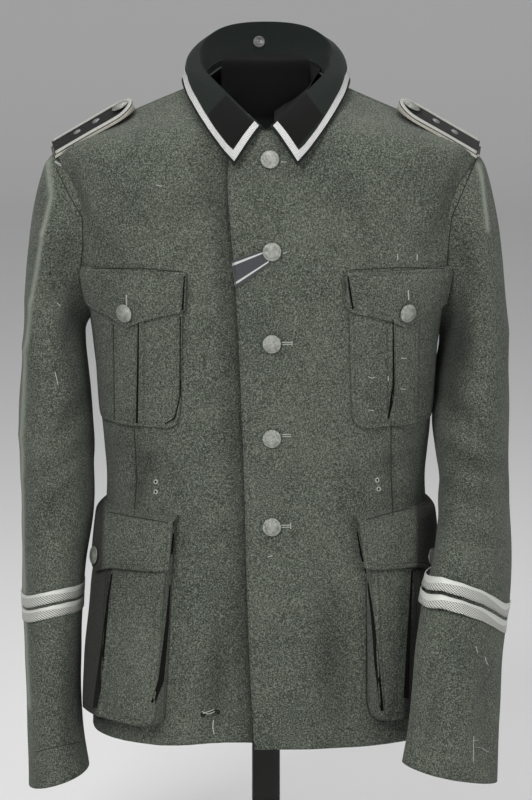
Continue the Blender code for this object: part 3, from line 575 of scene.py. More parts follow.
LEFT_SLEEVE_FOLDS = {
    "pressed": (
        (0.222, 0.760, 0.230, 0.690, 0.006, 0.0022),
    ),
    "front": (
        (0.204, 0.600, 0.186, 0.500, 0.016, -0.0060),
        (0.196, 0.700, 0.224, 0.610, 0.012, -0.0040),
        (0.190, 0.640, 0.212, 0.540, 0.012, -0.0030),
        (0.182, 0.520, 0.236, 0.480, 0.010, -0.0040),
        (0.180, 0.470, 0.244, 0.440, 0.010, -0.0046),
        (0.178, 0.430, 0.240, 0.412, 0.010, -0.0040),
        (0.180, 0.395, 0.236, 0.372, 0.010, -0.0032),
        (0.176, 0.262, 0.160, 0.160, 0.011, -0.0034),
        (0.206, 0.255, 0.196, 0.150, 0.012, 0.0026),
        (0.226, 0.262, 0.224, 0.160, 0.010, -0.0024),
    ),
    "back": (
        (0.210, 0.560, 0.240, 0.440, 0.014, -0.0040),
        (0.190, 0.440, 0.240, 0.400, 0.012, -0.0050),
    ),
}
SLEEVE_HEAD_Z = 0.57
HEAD_TUCK = 0.007
HEAD_REACH = 0.022
# Where a side of a sleeve lies closer to the body than on the CAD solid: from z, to z,
# shift in x, and the side of the sleeve that it moves
SLEEVE_SHIFTS = {-1: ((0.50, 0.77, 0.0045, -1),),
                 1: ((0.58, 0.78, -0.0065, 1), (0.44, 0.66, -0.0100, -1))}


def shape_sleeve(piece, node, side, folds):
    """Tuck the sleeve's head under the panels, press folds out from its middle line and store
    their painted shade and highlight.
    """
    points = positions(piece)
    heights = np.linspace(points[:, 2].min(), points[:, 2].max(), 24)
    solid = solid_points(node)
    middles = np.array([sleeve_middle(solid, height) for height in heights])
    middle = np.stack([np.interp(points[:, 2], heights, middles[:, i]) for i in (0, 1)], axis=1)
    outward = out_from(points, middle)
    in_front = frontness(points, middle[:, 1])
    push = fold_push(points, folds, in_front)
    near = np.array(rim_distances(piece, SLEEVE_HEAD_Z))
    tuck = HEAD_TUCK * np.clip(1.0 - near / HEAD_REACH, 0.0, 1.0) ** 2
    push *= np.clip(near / HEAD_REACH, 0.0, 1.0)
    mark_creases(piece, points, folds, in_front)
    points[:, :2] += outward * push[:, None]
    points[:, 0] -= side * tuck
    for low, high, shift, facing in SLEEVE_SHIFTS[side]:
        level = np.sin(np.pi * np.clip((points[:, 2] - low) / (high - low), 0.0, 1.0))
        points[:, 0] += shift * level * np.clip(outward[:, 0] * facing, 0.0, 1.0)
    move_to(piece, points)


for (side, sign), folds in zip(SIDES, (RIGHT_SLEEVE_FOLDS, LEFT_SLEEVE_FOLDS)):
    sleeve = finer("sleeve_" + side, f"sleeve_{side}_wool", 3)
    shape_sleeve(sleeve, "sleeve_" + side, sign, folds)
    dress(sleeve, wool, "wool", "sleeve_" + side)


# Collar: dark green badge cloth that stands at the back of the neck and falls in two
# pointed leaves. Each leaf has a plain black patch and a mitred braid along its edges.

# Trim is placed by picture places, (column, line) in the 532 x 800 photograph.
MIDDLE_COLUMN = 266.0
MIDDLE_LINE = 400.0
LINE_SIZE = SEEN_HEIGHT / 800


def surface_of(*pieces):
    """A search tree over the faces of finished pieces."""
    vertices = []
    faces = []
    for piece in pieces:
        start = len(vertices)
        vertices += [vertex.co.copy() for vertex in piece.data.vertices]
        faces += [[start + i for i in face.vertices] for face in piece.data.polygons]
    return BVHTree.FromPolygons(vertices, faces)


def met(tree, start, direction, reach=CAMERA_DISTANCE):
    """First face on a line, or the nearest one where the line just misses the cloth."""
    place, normal, _, _ = tree.ray_cast(start, direction)
    if place is None:
        place, normal, _, _ = tree.find_nearest(start + direction * reach)
    return place, -normal if normal.dot(direction) > 0 else normal


def seen(tree, column, line):
    """Place and outward direction of the cloth where the camera's line of sight meets it."""
    aim = Vector(((column - MIDDLE_COLUMN) * LINE_SIZE, (MIDDLE_LINE - line) * LINE_SIZE,
                  -CAMERA_DISTANCE))
    return met(tree, camera.location, camera.rotation_euler.to_matrix() @ aim.normalized())


def linked(name, shape, smooth=True):
    mesh = bpy.data.meshes.new(name)
    shape.to_mesh(mesh)
    shape.free()
    mesh.shade_smooth() if smooth else mesh.shade_flat()
    piece = bpy.data.objects.new(name, mesh)
    scene.collection.objects.link(piece)
    return piece


def laid(name, grids, lift, wall):
    """Flat trim on cloth: each grid has rows of (place, outward), raised by lift. Its UVs
    are metres along the rows and metres across them."""
    shape = bmesh.new()
    uv = shape.loops.layers.uv.new("length")
    for grid in grids:
        top = [[shape.verts.new(place + outward * lift) for place, outward in row] for row in grid]
        foot = [[shape.verts.new(place + outward * (lift - wall)) for place, outward in row]
                for row in grid]
        along = [0.0]
        for before, after in zip(grid, grid[1:]):
            along.append(along[-1] + (after[0][0] - before[0][0]).length)
        across = [0.0]
        for before, after in zip(grid[0], grid[0][1:]):
            across.append(across[-1] + (after[0] - before[0]).length)
        place_of = {}
        for i, row in enumerate(top):
            for j, corner in enumerate(row):
                place_of[corner] = place_of[foot[i][j]] = (along[i], across[j])
        last = len(grid) - 1
        end = len(grid[0]) - 1
        faces = [(top[i][j], top[i][j + 1], top[i + 1][j + 1], top[i + 1][j])
                 for i in range(last) for j in range(end)]
        for i in range(last):
            faces.append((foot[i][0], top[i][0], top[i + 1][0], foot[i + 1][0]))
            faces.append((top[i][end], foot[i][end], foot[i + 1][end], top[i + 1][end]))
        for j in range(end):
            faces.append((top[0][j], foot[0][j], foot[0][j + 1], top[0][j + 1]))
            faces.append((foot[last][j], top[last][j], top[last][j + 1], foot[last][j + 1]))
        for corners in faces:
            face = shape.faces.new(corners)
            for loop in face.loops:
                loop[uv].uv = place_of[loop.vert]
    bmesh.ops.recalc_face_normals(shape, faces=shape.faces)
    piece = linked(name, shape)
    piece.data.set_sharp_from_angle(angle=CUT_ANGLE)
    return piece


def seen_patch(tree, corners, rows, columns):
    """Grid of places on the cloth inside four picture places, given round the patch."""
    a, b, c, d = (np.array(corner, float) for corner in corners)
    grid = []
    for v in np.linspace(0.0, 1.0, rows + 1):
        left = a + (d - a) * v
        right = b + (c - b) * v
        grid.append([seen(tree, *(left + (right - left) * u))
                     for u in np.linspace(0.0, 1.0, columns + 1)])
    return grid


# The collar's roll line and outer edge from the back to the throat, for the side x > 0
COLLAR_ROLL = ((0.0, 0.079, 0.897), (0.027, 0.077, 0.896), (0.050, 0.068, 0.891),
               (0.066, 0.048, 0.879), (0.070, 0.022, 0.866), (0.067, -0.005, 0.856),
               (0.0585, -0.026, 0.849), (0.0445, -0.048, 0.837), (0.030, -0.065, 0.824),
               (0.0165, -0.0795, 0.812), (0.004, -0.091, 0.802))
COLLAR_EDGE = ((0.0, 0.088, 0.847), (0.035, 0.084, 0.846), (0.066, 0.068, 0.844),
               (0.083, 0.040, 0.843), (0.088, 0.013, 0.844), (0.088, -0.013, 0.840),
               (0.0815, -0.037, 0.8265), (0.071, -0.070, 0.811), (0.057, -0.0985, 0.793),
               (0.044, -0.112, 0.777), (0.032, -0.1175, 0.764))


def collar_line(side, inset):
    """Line on one leaf, inset from its outer and front edges, from the back to the throat."""
    rolls = [Vector((side * x, y, z)) for x, y, z in COLLAR_ROLL]
    edges = [Vector((side * x, y, z)) for x, y, z in COLLAR_EDGE]
    line = [edge + (roll - edge).normalized() * inset for edge, roll in zip(edges[:-1], rolls)]
    before, tip, top, inner = line[-1], edges[-1], rolls[-1], edges[-2]
    up = (top - tip).normalized()
    back = (inner - tip).normalized()
    corner = tip + (up + back) * (inset / max(up.cross(back).length, 0.5))
    while line and (line[-1] - tip).dot(back) < (corner - tip).dot(back):
        line.pop()
    throat = tip + up * ((top - tip).length - 0.003) + back * inset
    return line + [corner], [corner, throat]


def on_collar(tree, point):
    outward = Vector((point.x, point.y - 0.02, 0.0)).normalized() + Vector((0.0, 0.0, 0.5))
    outward.normalize()
    return met(tree, point + outward * 0.03, -outward, 0.03)


def evenly(points, count):
    """The line through the points, cut into count equal steps."""
    points = np.array(points)
    steps = np.linalg.norm(np.diff(points, axis=0), axis=1)
    places = np.concatenate([[0.0], np.cumsum(steps)])
    wanted = np.linspace(0.0, places[-1], count + 1)
    return [Vector([np.interp(s, places, points[:, i]) for i in range(3)]) for s in wanted]


def collar_strip(tree, outer, inner, count):
    """Rows of places on the collar between two lines, three across."""
    return [[on_collar(tree, a.lerp(b, share)) for share in (0.0, 0.5, 1.0)]
            for a, b in zip(evenly(outer, count), evenly(inner, count))]


def turned_piece(name, profile, place, axis, steps=40):
    """A round solid from a profile of radii and heights, turned about an axis."""
    shape = bmesh.new()
    points = [shape.verts.new((radius, 0.0, height)) for radius, height in profile]
    edges = [shape.edges.new(pair) for pair in zip(points, points[1:])]
    bmesh.ops.spin(shape, geom=points + edges, axis=(0, 0, 1), cent=(0, 0, 0),
                   angle=2 * math.pi, steps=steps, use_merge=True)
    bmesh.ops.remove_doubles(shape, verts=shape.verts, dist=0.00003)
    bmesh.ops.recalc_face_normals(shape, faces=shape.faces)
    upright = Vector((0, 0, 1)).rotation_difference(axis).to_matrix().to_4x4()
    shape.transform(Matrix.Translation(place) @ upright)
    return linked(name, shape)


def plain_cloth(name, dark, pale, scale=1500.0):
    """Short-napped dark cloth."""
    finish = Finish(name, roughness=0.95, sheen_weight=0.08, sheen_roughness=0.4,
                    specular_ior_level=0.08)
    nap = finish.noise(scale, 3.0, None, 0.7)
    finish.feed("Base Color", finish.ramp(nap, [(0.32, dark), (0.75, pale)]))
    finish.feed("Normal", finish.bump(nap, 0.0006, 0.5))
    return finish.material


def braid_finish(name, pale, dark, slant):
    """Woven metal thread: its UVs are metres along and across the band."""
    braid = Finish(name, roughness=0.5, metallic=0.2, specular_ior_level=0.4)
    place = braid.laid_place()
    run, across = braid.axis(place, 0), braid.axis(place, 1)
    ribs = braid.sine((run + across * slant) * (2 * math.pi / BRAID_RIB)) * 0.5 + 0.5
    rows = braid.sine(across * (2 * math.pi / BRAID_ROW)) * 0.5 + 0.5
    grain = braid.noise(1800.0, 2.0)
    tone = ribs * 0.45 + rows * 0.30 + grain * 0.4
    braid.feed("Base Color", braid.ramp(tone, [(0.20, dark), (0.62, pale)]))
    braid.feed("Normal", braid.bump(tone, 0.0005, 0.8))
    return braid.material


BRAID_RIB = 0.0021
BRAID_ROW = 0.0026
BRAID_INSET = 0.0027
BRAID_WIDTH = 0.0072
TRIM_LIFT = 0.0008
TRIM_WALL = 0.0014
NECK_REACH = 0.074
TAPE_TURN = 2.4
TAPE_SEARCH = (0.875, 0.800)
TAPE_RISE = 0.003
TAPE_DROP = 0.012
collar_cloth = plain_cloth("collar_cloth", (0.0060, 0.0080, 0.0072), (0.020, 0.025, 0.022))
patch_cloth = plain_cloth("patch_cloth", (0.0035, 0.0035, 0.0035), (0.012, 0.0115, 0.011))
collar_braid = braid_finish("collar_braid", (0.52, 0.52, 0.51), (0.17, 0.17, 0.17), 0.6)
collar = finer("collar", "collar_folded", 3)
collar_tree = surface_of(collar)
PATCHES = {"right": ((226, 95.5), (204.4, 118.4), (230, 150), (253, 122)),
           "left": ((304, 90), (323, 116), (293.7, 151.6), (272, 121))}
for side, sign in SIDES:
    (outer, front), (inner, inner_front) = (collar_line(sign, inset) for inset in
                                            (BRAID_INSET, BRAID_INSET + BRAID_WIDTH))
    legs = [collar_strip(collar_tree, outer, inner, 60),
            collar_strip(collar_tree, front, inner_front, 16)]
    braid = laid(f"collar_braid_{side}", legs, TRIM_LIFT, TRIM_WALL)
    dress(braid, collar_braid, "silver_braid")
    patch = laid(f"collar_patch_{side}", [seen_patch(collar_tree, PATCHES[side], 12, 12)],
                 TRIM_LIFT * 0.6, TRIM_WALL)
    dress(patch, patch_cloth, "collar_cloth")
dress(collar, collar_cloth, "collar_cloth", "collar")

# Tape inside the neck, from the highest place where each level line meets the collar
tape_rows = []
for turn in np.linspace(-TAPE_TURN, TAPE_TURN, 72):
    outward = Vector((math.sin(turn), math.cos(turn), 0.0))
    rim = None
    for height in np.arange(*TAPE_SEARCH, -0.001):
        place = collar_tree.ray_cast(Vector((*NECK_MIDDLE, height)), outward, NECK_REACH)[0]
        if rim and not place:
            break
        rim = place or rim
    if rim:
        tape_rows.append([(rim + Vector((0, 0, rise)), -outward)
                          for rise in (TAPE_RISE, -TAPE_DROP)])
tape = laid("neck_tape", [tape_rows], 0.0006, 0.0012)
dress(tape, collar_cloth, "collar_cloth")

# Small four-hole button inside the back of the collar
LINER_BUTTON = (259.0, 42.0)
HOLE_SPREAD = 0.0012
place, outward = seen(collar_tree, *LINER_BUTTON)
horn = Finish("horn", roughness=0.35, base_color=(0.085, 0.085, 0.090, 1.0))
holes = Finish("thread_holes", roughness=0.9, base_color=(0.30, 0.29, 0.26, 1.0))
profile = ((0.0, 0.0), (0.0060, 0.0), (0.0063, 0.0010), (0.0058, 0.0020), (0.0046, 0.0019),
           (0.0038, 0.0013), (0.0, 0.0012))
liner_button = turned_piece("liner_button", profile, place, outward)
dress(liner_button, horn.material, "button_metal")
across = outward.cross(Vector((0, 0, 1))).normalized()
above = across.cross(outward)
for i, (x, z) in enumerate(((-1, -1), (1, -1), (-1, 1), (1, 1))):
    spot = place + (across * x + above * z + outward) * HOLE_SPREAD
    hole = turned_piece(f"liner_thread_{i + 1}", ((0.0, 0.0), (0.0007, 0.0), (0.0006, 0.0005),
                                                  (0.0, 0.0006)), spot, outward, 10)
    dress(hole, holes.material, "ribbon_silk")


# Chest pockets: patch pockets with a box pleat, under a flap cut in three points with
# a row of stitches along its edge.

for side in ("right", "left"):
    for kind, levels in (("pocket", 2), ("flap", 3)):
        node = f"chest_{kind}_{side}"
        patch = finer(node, node + "_wool", levels)
        mark_rim(patch)
        dress(patch, wool_stitched, "wool", node)


# Hip pockets: bellows pockets that stand off the skirt, deepest along the outer edge, under a flap
# like those at the chest. Their outer sides carry painted shade.

# Shift of the inner edge at the top and at the bottom, then drop of the lower edge at its
# inner and at its outer end
HIP_REACH = {"flap_right": (0.0098, 0.0060, 0.0145, 0.0030),
             "flap_left": (0.0100, 0.0030, 0.0120, 0.0),
             "pocket_right": (0.0080, 0.0020, 0.0100, 0.0060),
             "pocket_left": (0.0, 0.0, 0.0040, 0.0)}
REACH_WIDTH = 0.060
SKIRT_SLOPE = 0.5
# Height and distance from the middle beyond which the sides of the bellows carry painted shade
BELLOWS_TURN = {"right": ((0.195, 0.1769), (0.266, 0.1676), (0.335, 0.1593)),
                "left": ((0.185, 0.1417), (0.241, 0.1456), (0.330, 0.1530))}
# The same for the painted shade on the sides of the flaps
FLAP_TURN = {"right": ((0.3, 0.1700), (0.4, 0.1690)), "left": ((0.3, 0.1555), (0.4, 0.1560))}
TURN_WIDTH = 0.004
SHADE_FADE = 0.015


def draw_out(piece, sign, top_shift, low_shift, inner_drop, outer_drop):
    """Let a pocket or flap reach further to the middle and down, over the skirt's curve."""
    points = positions(piece)
    inward = points[:, 0] * sign
    inner = np.clip((inward.min() + REACH_WIDTH - inward) / REACH_WIDTH, 0.0, 1.0)
    height = points[:, 2] - points[:, 2].min()
    high = height / height.max()
    shift = inner * (low_shift + (top_shift - low_shift) * high)
    points[:, 0] -= sign * shift
    points[:, 1] -= SKIRT_SLOPE * shift
    points[:, 2] -= (1.0 - high) * (outer_drop + (inner_drop - outer_drop) * inner)
    move_to(piece, points)


def turn_shade(piece, line):
    """Painted shade of a pocket or flap beyond a line of (height, distance), as far as its side.
    """
    points = positions(piece)
    limit = np.interp(points[:, 2], *np.array(line).T)
    side_y = points[np.abs(points[:, 0]).argmax(), 1]
    before_side = np.clip((side_y - points[:, 1]) / SHADE_FADE + 1.0, 0.0, 1.0)
    return -before_side * np.clip((np.abs(points[:, 0]) - limit) / TURN_WIDTH + 0.5, 0.0, 1.0)


for side, sign in SIDES:
    for kind, levels, folds, turn in (("pocket", 2, BODY_FOLDS, BELLOWS_TURN),
                                      ("flap", 3, {}, FLAP_TURN)):
        node = f"hip_{kind}_{side}"
        patch = finer(node, node + "_wool", levels)
        draw_out(patch, sign, *HIP_REACH[f"{kind}_{side}"])
        press_folds(patch, folds, turn_shade(patch, turn[side]))
        mark_rim(patch)
        dress(patch, wool_stitched, "wool", node)


# Buttons: domed metal buttons, pebbled and worn grey, each on the place and axis of
# its CAD solid.

def button_frame(node):
    """Foot, outward axis, radius and height of a button's CAD solid."""
    points = solid_points(node)
    middle = points.mean(axis=0)
    axis = np.linalg.svd(points - middle)[2][2]
    outward = np.array((middle[0] * 0.2, -0.2, 1.0 if "board" in node else 0.1))
    axis = axis if axis @ outward > 0 else -axis
    along = (points - middle) @ axis
    across = np.linalg.norm((points - middle) - along[:, None] * axis, axis=1)
    foot = middle + axis * along.min()
    return Vector(foot), Vector(axis), across.max(), along.max() - along.min()


def button_profile(radius, height):
    shares = ((0.0, 0.0), (0.30, 0.0), (0.30, 0.32), (0.94, 0.32), (1.0, 0.42), (0.985, 0.54),
              (0.93, 0.60), (0.88, 0.58), (0.80, 0.68), (0.62, 0.84), (0.38, 0.95), (0.15, 0.99),
              (0.0, 1.0))
    return [(radius * r, height * h) for r, h in shares]


metal = Finish("button_metal", metallic=0.55, roughness=0.45)
pebbles = metal.add("ShaderNodeTexVoronoi", {"feature": "SMOOTH_F1"}, {
    "Vector": metal.place(), "Scale": 1150.0, "Smoothness": 0.4}, "Distance")
tarnish = metal.noise(260.0, 4.0)
metal.feed("Base Color", metal.ramp(tarnish, [
    (0.34, (0.19, 0.20, 0.175)), (0.70, (0.36, 0.37, 0.34))]))
metal.feed("Roughness", tarnish * 0.35 + 0.25)
metal.feed("Normal", metal.bump(1.0 - pebbles, 0.0006, 0.9))
buttons = [f"front_button_{i}" for i in range(1, 6)]
buttons += [f"{where}_button_{side}" for where in ("chest", "hip", "board")
            for side in ("right", "left")]
for node in buttons:
    foot, axis, radius, height = button_frame(node)
    piece = turned_piece(node + "_metal", button_profile(radius, height), foot, axis)
    dress(piece, metal.material, "button_metal", node)


# Shoulder boards: stiff cloth boards with pale piping round the edge and silver braid on
# top. They lie tilted to the front, buttoned by the collar and held by a loop at the sleeve.

BOARD_TILT = math.radians(13.0)
TOP_FACING = 0.6
PIP_PLACES = (0.36, 0.62)
PIP_PROFILE = ((0.0, 0.0), (0.0046, 0.0), (0.0042, 0.0010), (0.0028, 0.0017), (0.0012, 0.0022),
               (0.0, 0.0023))
board_braid = braid_finish("board_braid", (0.42, 0.42, 0.39), (0.12, 0.12, 0.11), 0.6)
board_cloth = plain_cloth("board_cloth", (0.0045, 0.0050, 0.0048), (0.017, 0.018, 0.017))
piping = plain_cloth("piping", (0.26, 0.25, 0.21), (0.58, 0.56, 0.49), 1100.0)
pip_metal = Finish("pip_metal", roughness=0.5, metallic=0.4,
                   base_color=(0.16, 0.165, 0.16, 1.0)).material


def tilt(piece, hinge, along, above_only=False):
    """Turn a board about its front edge, so that the back edge rises."""
    points = positions(piece)
    turn = np.array(Matrix.Rotation(BOARD_TILT, 3, along))
    turned = (points - hinge) @ turn.T + hinge
    if above_only:
        under = normals(piece)[:, 2] < -0.3
        turned[under] = points[under]
    move_to(piece, turned)


def board_line(node):
    """Outer and inner ends of a board's front edge, on its CAD solid."""
    points = solid_points(node)
    front = points[points[:, 1] < points[:, 1].min() + 0.004]
    order = np.argsort(np.abs(front[:, 0]))
    return front[order[-1]], front[order[0]]


BOARD_DROP = math.radians(8.0)
BOARD_SHIFT = (0.006, -0.002, -0.004)
BOARD_HALF = 0.0225
BOARD_REST = 0.0048
WALL = 0.002
PRESS_SLOPE = 0.70
PRESSED_ABOVE = 0.72


def drop_board(piece, inner, sign):
    """Let a board slope down further to the sleeve, from its end by the collar."""
    turn = np.array(Matrix.Rotation(BOARD_DROP * sign, 3, "Y"))
    shift = np.array(BOARD_SHIFT) * (sign, 1.0, 1.0)
    move_to(piece, (positions(piece) - inner) @ turn.T + inner + shift)


def press_under(piece, board):
    """Press the shoulder's cloth down where a board lies on it, easing out all round."""
    top = positions(board)[normals(board)[:, 2] > TOP_FACING]
    slopes = np.linalg.lstsq(np.c_[top[:, :2], np.ones(len(top))], top[:, 2], rcond=None)[0]
    points = positions(piece)
    spot = np.clip(points[:, :2], top[:, :2].min(axis=0), top[:, :2].max(axis=0))
    away = np.linalg.norm(points[:, :2] - spot, axis=1)
    limit = np.c_[spot, np.ones(len(spot))] @ slopes - BOARD_REST + PRESS_SLOPE * away
    limit -= WALL * (normals(piece)[:, 2] < 0)
    high = points[:, 2] > PRESSED_ABOVE
    points[high, 2] = np.minimum(points[:, 2], limit)[high]
    move_to(piece, points)


for side, sign in SIDES:
    outer, inner = board_line("shoulder_board_" + side)
    along = Vector(inner - outer).normalized() * -sign
    board = finer("shoulder_board_" + side, f"shoulder_board_{side}_cloth", 2)
    edge = finer("board_braid_" + side, f"board_braid_{side}_woven", 2)
    dress(board, board_cloth, "collar_cloth", "shoulder_board_" + side)
    board.data.materials.append(piping)
    for face in board.data.polygons:
        if abs(face.normal.z) < TOP_FACING:
            face.material_index = 1
    tilt(board, outer, along, above_only=True)
    tilt(edge, outer, along)
    button = bpy.data.objects[f"board_button_{side}_metal"]
    tilt(button, outer, along)
    for piece in (board, edge, button):
        drop_board(piece, inner, sign)
    for name in (f"front_{side}_wool", "back_wool", f"sleeve_{side}_wool"):
        press_under(bpy.data.objects[name], board)
    dress(edge, board_braid, "silver_braid", "board_braid_" + side)
    board_tree = surface_of(board)
    for i, share in enumerate(PIP_PLACES):
        spot = Vector(outer).lerp(Vector(inner), share) + Vector((0.0, BOARD_HALF, 0.0))
        spot += Vector(BOARD_SHIFT) * Vector((sign, 1.0, 1.0))
        place, outward = met(board_tree, spot + Vector((0, 0, 0.05)), Vector((0, 0, -1)))
        pip = turned_piece(f"board_pip_{side}_{i + 1}", PIP_PROFILE, place, outward, 24)
        dress(pip, pip_metal, "button_metal")


# Cuff braid: two flat silver bands around each sleeve, woven in slanting steps that
# cross, with a plain upper edge. "round" and "rise" are metres round and up the band.

PLAIN_FROM = 0.0086
cuff_braid = Finish("cuff_braid", roughness=0.5, metallic=0.15, specular_ior_level=0.4)
rise = cuff_braid.attribute("rise")
round_about = cuff_braid.attribute("round")
WEAVE = 2 * math.pi / 0.0028
CUFF_RADIUS = 0.055
BAND_HALF = 0.0062
# How much higher the bands lie than on the CAD solids: x and lift
BAND_LIFTS = {"right": ((-0.249, 0.0069), (-0.2355, 0.0096), (-0.2212, 0.0105),
                        (-0.2064, 0.0094), (-0.190, 0.0042)),
              "left": ((0.165, 0.0100), (0.1795, 0.0167), (0.2006, 0.0185),
                       (0.2216, 0.0162), (0.2343, 0.0113), (0.248, 0.0035))}
hatch, crossing = (cuff_braid.sine((round_about + rise * slant) * WEAVE)
                   for slant in (1.1, -1.1))
plain_edge = rise.above(PLAIN_FROM)
tone = (hatch * 0.42 + crossing * 0.26) * (1.0 - plain_edge) + plain_edge * 0.12
tone = tone + cuff_braid.noise(1500.0, 2.0) * 0.30 + 0.30
cuff_braid.feed("Base Color", cuff_braid.ramp(tone, [
    (0.10, (0.16, 0.16, 0.145)), (0.62, (0.55, 0.56, 0.52))]))
cuff_braid.feed("Normal", cuff_braid.bump(tone, 0.0006, 0.9))
for side in ("right", "left"):
    for place in (1, 2):
        node = f"cuff_band_{side}_{place}"
        band = finer(node, node + "_woven", 2)
        points = positions(band)
        x, y = points[:, 0].mean(), points[:, 1].mean()
        turn = np.arctan2(points[:, 0] - x, y - points[:, 1])
        slope = np.c_[np.sin(turn), np.cos(turn), np.ones(len(points))]
        level = slope @ np.linalg.lstsq(slope, points[:, 2], rcond=None)[0]
        store(band, "round", turn * CUFF_RADIUS)
        store(band, "rise", points[:, 2] - level + BAND_HALF)
        points[:, 2] += np.interp(points[:, 0], *np.array(BAND_LIFTS[side]).T)
        move_to(band, points)
        dress(band, cuff_braid.material, "silver_braid", node)


# Ribbon: a short striped silk ribbon that comes out of the front edge and passes under
# the second button.

RIBBON_WIDTH = 0.0284
STRIPE = (0.0086, 0.0112)
RIBBON_LEFT = ((231.8, 260.5), (235.5, 289.0))
RIBBON_RIGHT = ((264.0, 250.0), (270.0, 264.0))
ribbon_silk = Finish("ribbon_silk", roughness=0.55, sheen_weight=0.15)
middle = ribbon_silk.gap(ribbon_silk.axis(ribbon_silk.laid_place(), 1), RIBBON_WIDTH / 2)
stripe = middle.above(STRIPE[0]) - middle.above(STRIPE[1])
ribs = ribbon_silk.noise(2200.0, 1.0)
plain = ribbon_silk.ramp(ribs, [(0.3, (0.012, 0.013, 0.016)), (0.7, (0.030, 0.032, 0.038))])
ribbon_silk.feed("Base Color", ribbon_silk.mix(stripe, plain, (0.42, 0.43, 0.42, 1.0)))
ribbon_silk.feed("Normal", ribbon_silk.bump(ribs, 0.0003, 0.5))
front_tree = surface_of(bpy.data.objects["front_left_wool"], bpy.data.objects["front_right_wool"])
rows = seen_patch(front_tree, (RIBBON_LEFT[0], RIBBON_LEFT[1], RIBBON_RIGHT[1], RIBBON_RIGHT[0]),
                  14, 6)
ribbon = laid("ribbon_striped", [rows], 0.0016, 0.0018)
dress(ribbon, ribbon_silk.material, "ribbon_silk", "ribbon")


# Seams and threads: pressed seams drawn as dark strips of painted shade, painted shadow in the
# slits of pleats and bellows, worked buttonholes, eyelets, the loops that hold the boards, loose
# threads and scratches.

def seen_band(tree, path, step=2.5, deepest=0.007):
    """Grids of places along a path of (column, line, width), broken where the cloth is."""
    stations = [np.array(path[0], float)]
    for start, end in zip(path, path[1:]):
        start, end = np.array(start, float), np.array(end, float)
        count = max(1, math.ceil(np.linalg.norm(end[:2] - start[:2]) / step))
        stations += [start + (end - start) * i / count for i in range(1, count + 1)]
    grids = [[]]
    for i, station in enumerate(stations):
        line = stations[min(i + 1, len(stations) - 1)] - stations[max(i - 1, 0)]
        side = np.array((-line[1], line[0])) / np.hypot(*line[:2]) * station[2] / 2
        row = [seen(tree, *(station[:2] + side * share)) for share in (-1.0, 0.0, 1.0)]
        reach = [row[0][0], row[2][0]] + ([grids[-1][-1][1][0]] if grids[-1] else [])
        if max((a - row[1][0]).length for a in reach) > deepest:
            grids.append([])
        else:
            grids[-1].append(row)
    return [grid for grid in grids if len(grid) > 1]


SEAMS = (
    ((56, 168, .9), (70, 197, .9), (82, 217, 1), (83, 246, 1), (80, 270, .9)),
    ((477, 157, .9), (466, 184, .9), (452, 217, 1), (449, 240, 1), (447, 265, .9)),
    ((134, 425, .8), (136, 455, .8), (136.5, 485, .8), (134, 516, .8)),
    ((391, 422, .8), (391, 480, .8), (393, 516, .8)),
    ((108, 512, .8), (134, 517, .8), (168, 523, .8)),
    ((366, 520, .8), (390, 513, .8), (410, 508, .8)),
    ((113.5, 324, .9), (114.5, 420, .9)),
    ((36, 752, .8), (60, 746, .8), (85, 741, .8)),
    ((92, 268.5, .8), (140, 268, .8), (183, 272, .8)),
    ((350, 270, .8), (400, 267.5, .8), (444, 268.5, .8)),
    ((366, 578, .9), (366.3, 640, .9), (366, 700, .9), (371, 716, 1), (384, 722, 1)),
)
SLITS = (
    ((138.5, 322, 1.0), (138, 370, 1.7), (137, 423, 2.0)),
    ((393, 320, 1.0), (393.5, 385, 2.0), (391, 405, 3.2), (388, 419, 1.2)),
    ((184.5, 276, 1.2), (182.5, 312, 2.0)),
    ((180.5, 318, .9), (180, 396, 1.1), (175, 418, 1.3), (165, 424, 1)),
    ((347.8, 276, 1.2), (350, 292, 2.0), (353, 309, 1.6)),
    ((112, 574, 1.2), (108, 600, 2.0), (104, 640, 3.4), (98, 690, 5.5), (95, 708, 4)),
    ((170, 585, 1.0), (167, 625, 3.4), (161, 680, 5.5), (153, 703, 4)),
    ((173.5, 533, 1.2), (172, 550, 2.0), (169, 568, 1.3)),
    ((357, 532, 1.0), (361, 555, 1.7), (366, 573, 1.4)),
    ((368, 583, 1.2), (373, 620, 3.0), (377, 665, 4.5), (382, 711, 3)),
    ((412, 570, 1.3), (409, 630, 3.0), (406, 698, 5)),
)
